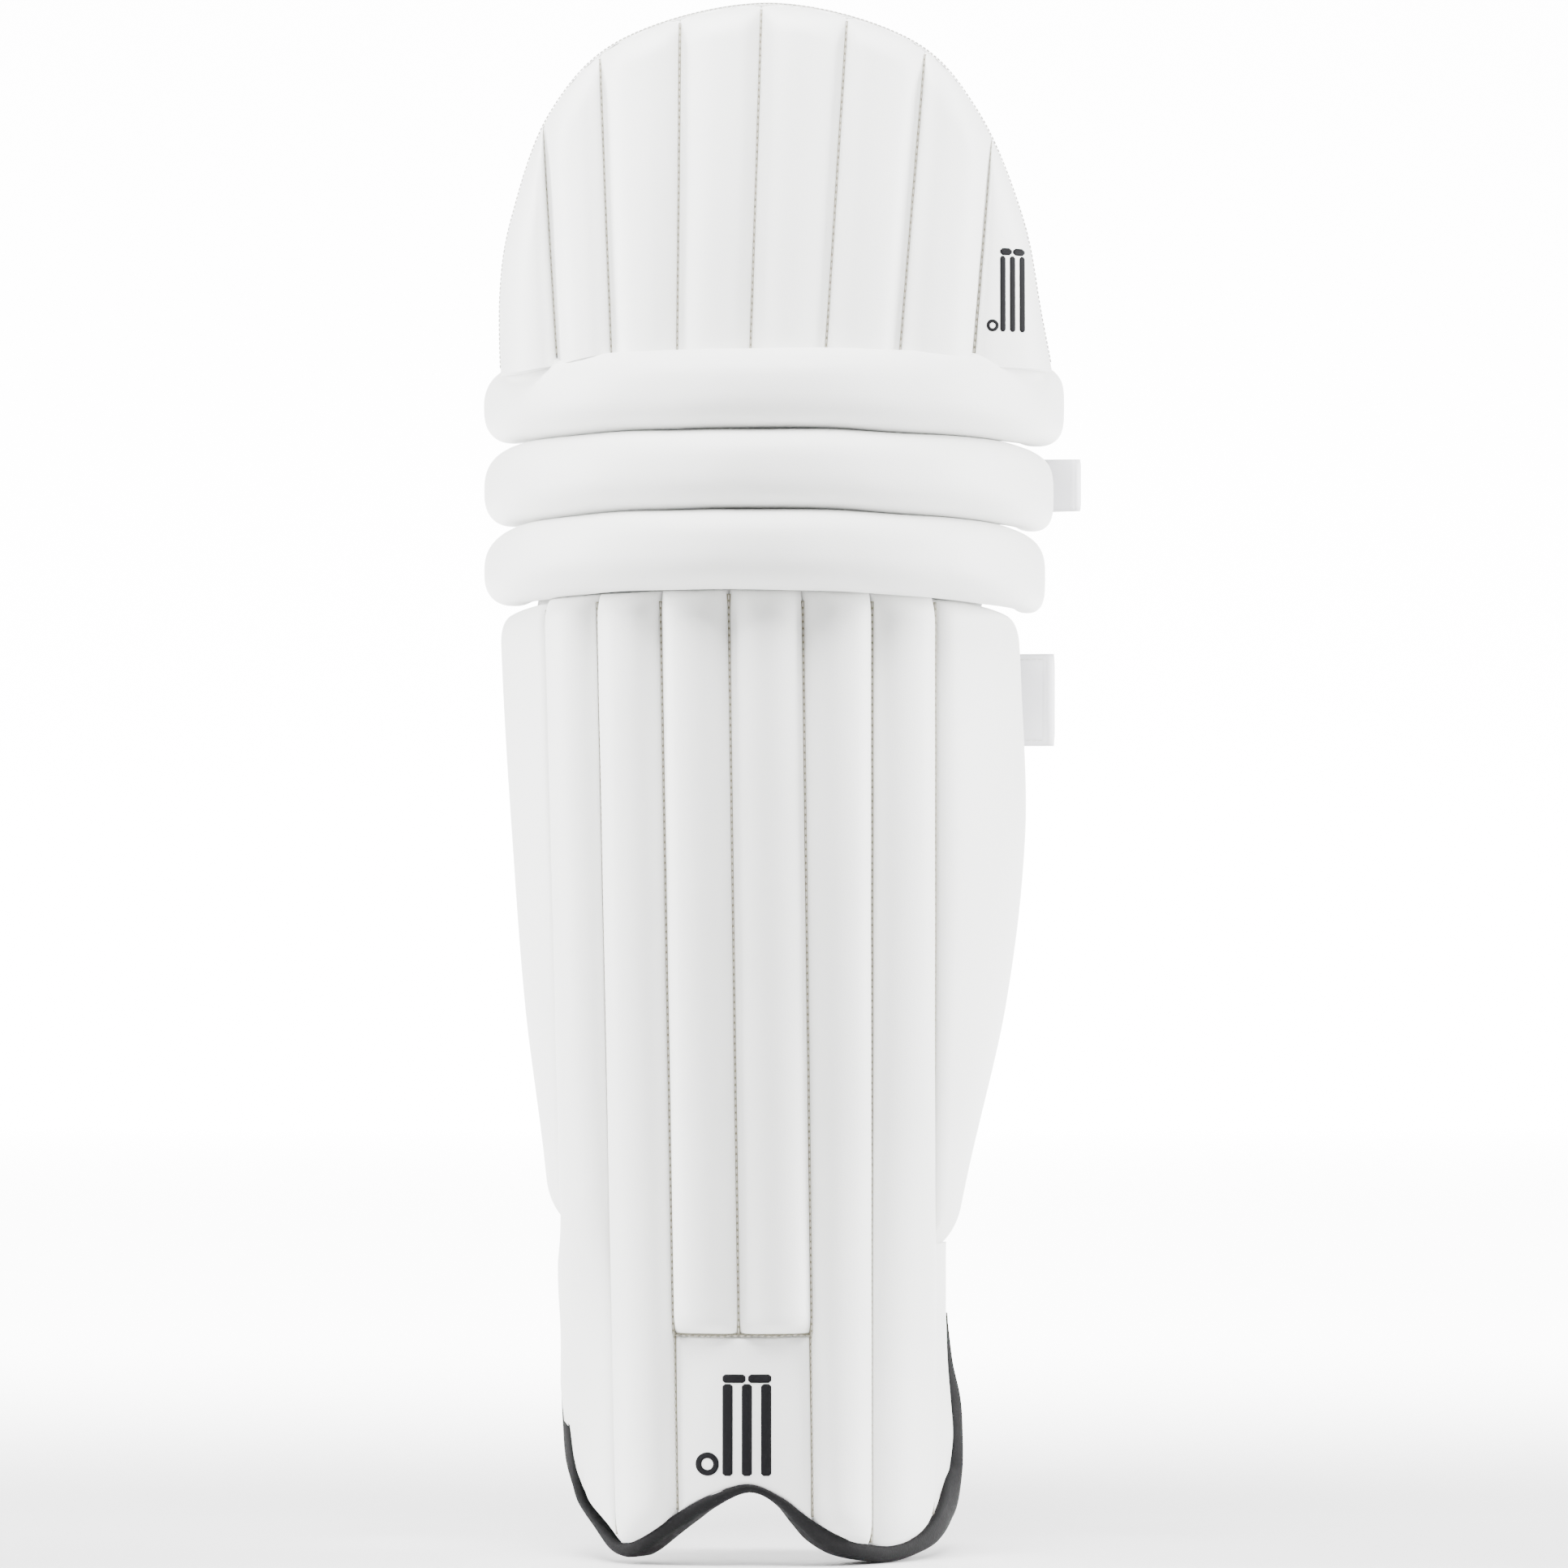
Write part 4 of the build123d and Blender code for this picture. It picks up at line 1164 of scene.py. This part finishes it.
def hat_cloth_place(u, v):
    z = lerp(HAT_CLOTH_FOOT, hat_peak_z - 0.8, v)
    left, right = hat_left(z) + 1.0, hat_right(z) - 1.0
    angle = lerp(angle_at(hat_plan, left, -3, z), angle_at(hat_plan, right, -3, z), u)
    x = point(hat_plan, angle, -3, z)[0]
    soft = 0.35 + 0.65 * end_round(min(edge_distance(x, z), 6), 6)
    lines = min(abs(angle - line) for line in (-45, -23, 0, 23, 46))
    soft *= 1 - 0.4 * math.exp(-(lines * 1.7 / 2.2) ** 2)
    return thick_point(hat_plan, angle, -3.2, -3.2 - 3.6 * soft, z)


hat_cloth = skin("top_hat_inside", grids(rows_between(70), rows_between(60), hat_cloth_place))
finish_piece(hat_cloth, M_LINING, "top_hat", ["top_hat_lining"])


def evaluated_mesh(ob):
    graph = bpy.context.evaluated_depsgraph_get()
    return bpy.data.meshes.new_from_object(ob.evaluated_get(graph))


def blown(ob, cap, pressure=4.0, voxel=0.0045, held=None):
    """Fills a closed form like a cushion with a short cloth simulation and keeps the result."""
    scene = bpy.context.scene
    remesh = ob.modifiers.new("remesh", "REMESH")
    remesh.mode = "VOXEL"
    remesh.voxel_size = voxel
    mesh = evaluated_mesh(ob)
    ob.modifiers.clear()
    ob.data = mesh
    start = [v.co.copy() for v in mesh.vertices]
    group = ob.vertex_groups.new(name="held")
    for v in mesh.vertices:
        if held and held(v.co / MM):
            group.add([v.index], 1.0, "REPLACE")
    modifier = ob.modifiers.new("cloth", "CLOTH")
    settings = modifier.settings
    settings.quality = 6
    settings.mass = 0.15
    settings.use_pressure = True
    settings.uniform_pressure_force = pressure
    settings.effector_weights.gravity = 0
    settings.vertex_group_mass = "held"
    settings.tension_stiffness = settings.compression_stiffness = 20
    settings.bending_stiffness = 0.4
    modifier.point_cache.frame_start, modifier.point_cache.frame_end = 1, 20
    for number in range(1, 15):
        scene.frame_set(number)
    result = evaluated_mesh(ob)
    for v, first in zip(result.vertices, start):
        move = v.co - first
        if move.length > cap:
            v.co = first + move.normalized() * cap
    ob.modifiers.clear()
    ob.vertex_groups.clear()
    ob.data = result
    scene.frame_set(1)
    soften = ob.modifiers.new("soften", "SUBSURF")
    soften.levels = soften.render_levels = 1
    ob.data = evaluated_mesh(ob)
    ob.modifiers.clear()
    for face in ob.data.polygons:
        face.use_smooth = True


def cushion(name, plan, a0, a1, z0, z1, base, thick, corner=11.0):
    """A closed form inside the pad, flat towards the front and rounded towards the leg."""
    half = 0.5 * abs(a1 - a0) * math.radians(1) * 88

    def place(u, v):
        z = lerp(z0, z1, v)
        near_end = min(z - z0, z1 - z)
        pull = 0.0
        if near_end < corner:
            pull = corner - math.sqrt(max(0.0, corner ** 2 - (corner - near_end) ** 2))
        share = 1 - pull / half
        angle = (a0 + a1) / 2 + (u - 0.5) * (a1 - a0) * share
        rim = end_round(min(u, 1 - u) * 2 * half * share + 0.05, 6)
        rim = min(rim, end_round(near_end + 0.05, 6))
        far = base - thick * (0.25 + 0.75 * rim)
        return thick_point(plan, angle, base, far, z)

    return skin(name, grids(rows_between(60), ends_dense(24), place))


def near_front(plan, base):
    """A test for the points of a cushion that are sewn to the lining in front of it."""
    def held(co):
        inner, outer, depth, back = plan(co.z)
        across = outer if co.x > 0 else inner
        far = math.hypot(co.x / (across + base), (co.y - back) / (depth + base))
        return far > 1 - 1.2 / 90
    return held


for name, a0, a1 in (("inner", -57.5, -24.5), ("outer", 18.5, 47.5)):
    pad = cushion("shin_bolster_%s_face" % name, shin_plan, a0, a1, 136, 404, -7.0, 8.6)
    blown(pad, 0.006, held=near_front(shin_plan, -7.0))
    finish_piece(pad, M_LINING, "shin", ["shin_bolster_" + name])

cup = cushion("knee_cup_face", knee_plan, -33.5, 33.5, 481.5, 507.5, -4.3, 7.6, 8.0)
blown(cup, 0.005, held=near_front(knee_plan, -4.3))
finish_piece(cup, M_LINING, "middle_knee_roll", ["knee_cup_cushion"])


def strap_cushion(name, path, first, last, span, body, node):
    low, high = span
    whole = resample(catmull(path, 14), 1.0)
    count = len(whole)
    part = whole[int(count * first):int(count * last)]
    middle = inset(part, STRAP_THICK / 2 + 0.3 + 2.6)
    loops = []
    for i, (x, y, nx, ny) in enumerate(with_normals(middle)):
        end = end_round(min(i, len(middle) - 1 - i) + 0.3, 8)
        loop = []
        for j in range(28):
            turn = 2 * math.pi * j / 28
            c, v = math.cos(turn), math.sin(turn)
            o = math.copysign(abs(c) ** 0.8, c) * 2.5 * (0.3 + 0.7 * end)
            h = math.copysign(abs(v) ** 0.45, v) * ((high - low) / 2 - 3.2) * (0.55 + 0.45 * end)
            loop.append((x + nx * o, y + ny * o, (low + high) / 2 + h))
        loops.append(loop)
    ob = tube(name, loops)
    blown(ob, 0.0015, pressure=3.0, voxel=0.0035)
    finish_piece(ob, M_LINING, body, [node])


strap_cushion("calf_strap_cushion", calf_path, 0.28, 0.66, CALF, "calf_strap",
              "calf_strap_pad")
strap_cushion("knee_strap_cushion", knee_path, 0.28, 0.60, KNEE, "knee_strap",
              "knee_strap_pad")


# ---- Stage, light and camera ----
def stage_object(name, verts, colour, rough, glow=0.0):
    mesh = bpy.data.meshes.new(name)
    mesh.from_pydata(verts, [], [(0, 1, 2, 3)])
    ob = add_object(name, mesh)
    mat, _, shader = node_material(name, colour, rough)
    if glow:
        shader.inputs["Emission Color"].default_value = (1, 1, 1, 1)
        shader.inputs["Emission Strength"].default_value = glow
    ob.data.materials.append(mat)
    ob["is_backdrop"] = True
    return ob


FLOOR_Z = CAD_LOW.z - 0.0004
floor = stage_object(
    "floor", [(-8, -8, FLOOR_Z), (8, -8, FLOOR_Z), (8, 5.2, FLOOR_Z), (-8, 5.2, FLOOR_Z)],
    (0.93, 0.93, 0.93), 0.9)
# The floor runs out into the lit backdrop with no line between them.
floor_tree = floor.data.materials[0].node_tree
floor_shader = floor_tree.nodes["Principled BSDF"]
floor_shader.inputs["Emission Color"].default_value = (1, 1, 1, 1)
floor_place = add_node(floor_tree, "TexCoord").outputs["Object"]
floor_axis = add_node(floor_tree, "SeparateXYZ", links=[("Vector", floor_place)])
floor_glow = add_node(
    floor_tree, "MapRange", [("From Min", 0.1), ("From Max", 1.6), ("To Max", 9.5)],
    [("Value", floor_axis.outputs["Y"])])
floor_glow.interpolation_type = "SMOOTHSTEP"
floor_tree.links.new(floor_glow.outputs["Result"], floor_shader.inputs["Emission Strength"])
stage_object(
    "backdrop",
    [(-1.6, 5.2, FLOOR_Z), (1.6, 5.2, FLOOR_Z), (1.6, 5.2, 2.6), (-1.6, 5.2, 2.6)],
    (0.9, 0.9, 0.9), 0.9, 10.0)

world = bpy.data.worlds.new("studio")
bpy.context.scene.world = world
world.use_nodes = True
world.node_tree.nodes["Background"].inputs["Color"].default_value = (1, 1, 1, 1)
world.node_tree.nodes["Background"].inputs["Strength"].default_value = 0.4


def area_light(name, place, target, size, power):
    data = bpy.data.lights.new(name, "AREA")
    data.shape = "RECTANGLE"
    data.size, data.size_y = size
    data.energy = power
    ob = add_object(name, data)
    ob.location = place
    ob.rotation_euler = (Vector(target) - Vector(place)).to_track_quat("-Z", "Y").to_euler()


area_light("left_softbox", (-1.9, -0.08, 0.6), (0, 0, 0.36), (0.6, 1.4), 130)
area_light("right_softbox", (1.9, 0.0, 0.6), (0, 0, 0.36), (0.6, 1.4), 138)
area_light("top_softbox", (-0.06, -0.55, 1.2), (0, 0, 0.5), (0.9, 0.4), 40)
area_light("back_softbox", (0.0, 2.6, 1.6), (0, 0, 0.4), (1.6, 1.0), 30)

camera_data = bpy.data.cameras.new("camera")
camera_data.lens = 199.8
camera_data.sensor_width = 36
camera = add_object("camera", camera_data)
camera.location = (0.015, -4.02, 0.3523)
camera.rotation_euler = (math.radians(90), 0, 0)
bpy.context.scene.camera = camera

low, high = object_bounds()
{"cad": [list(CAD_LOW), list(CAD_HIGH)], "visual": [list(low), list(high)]}
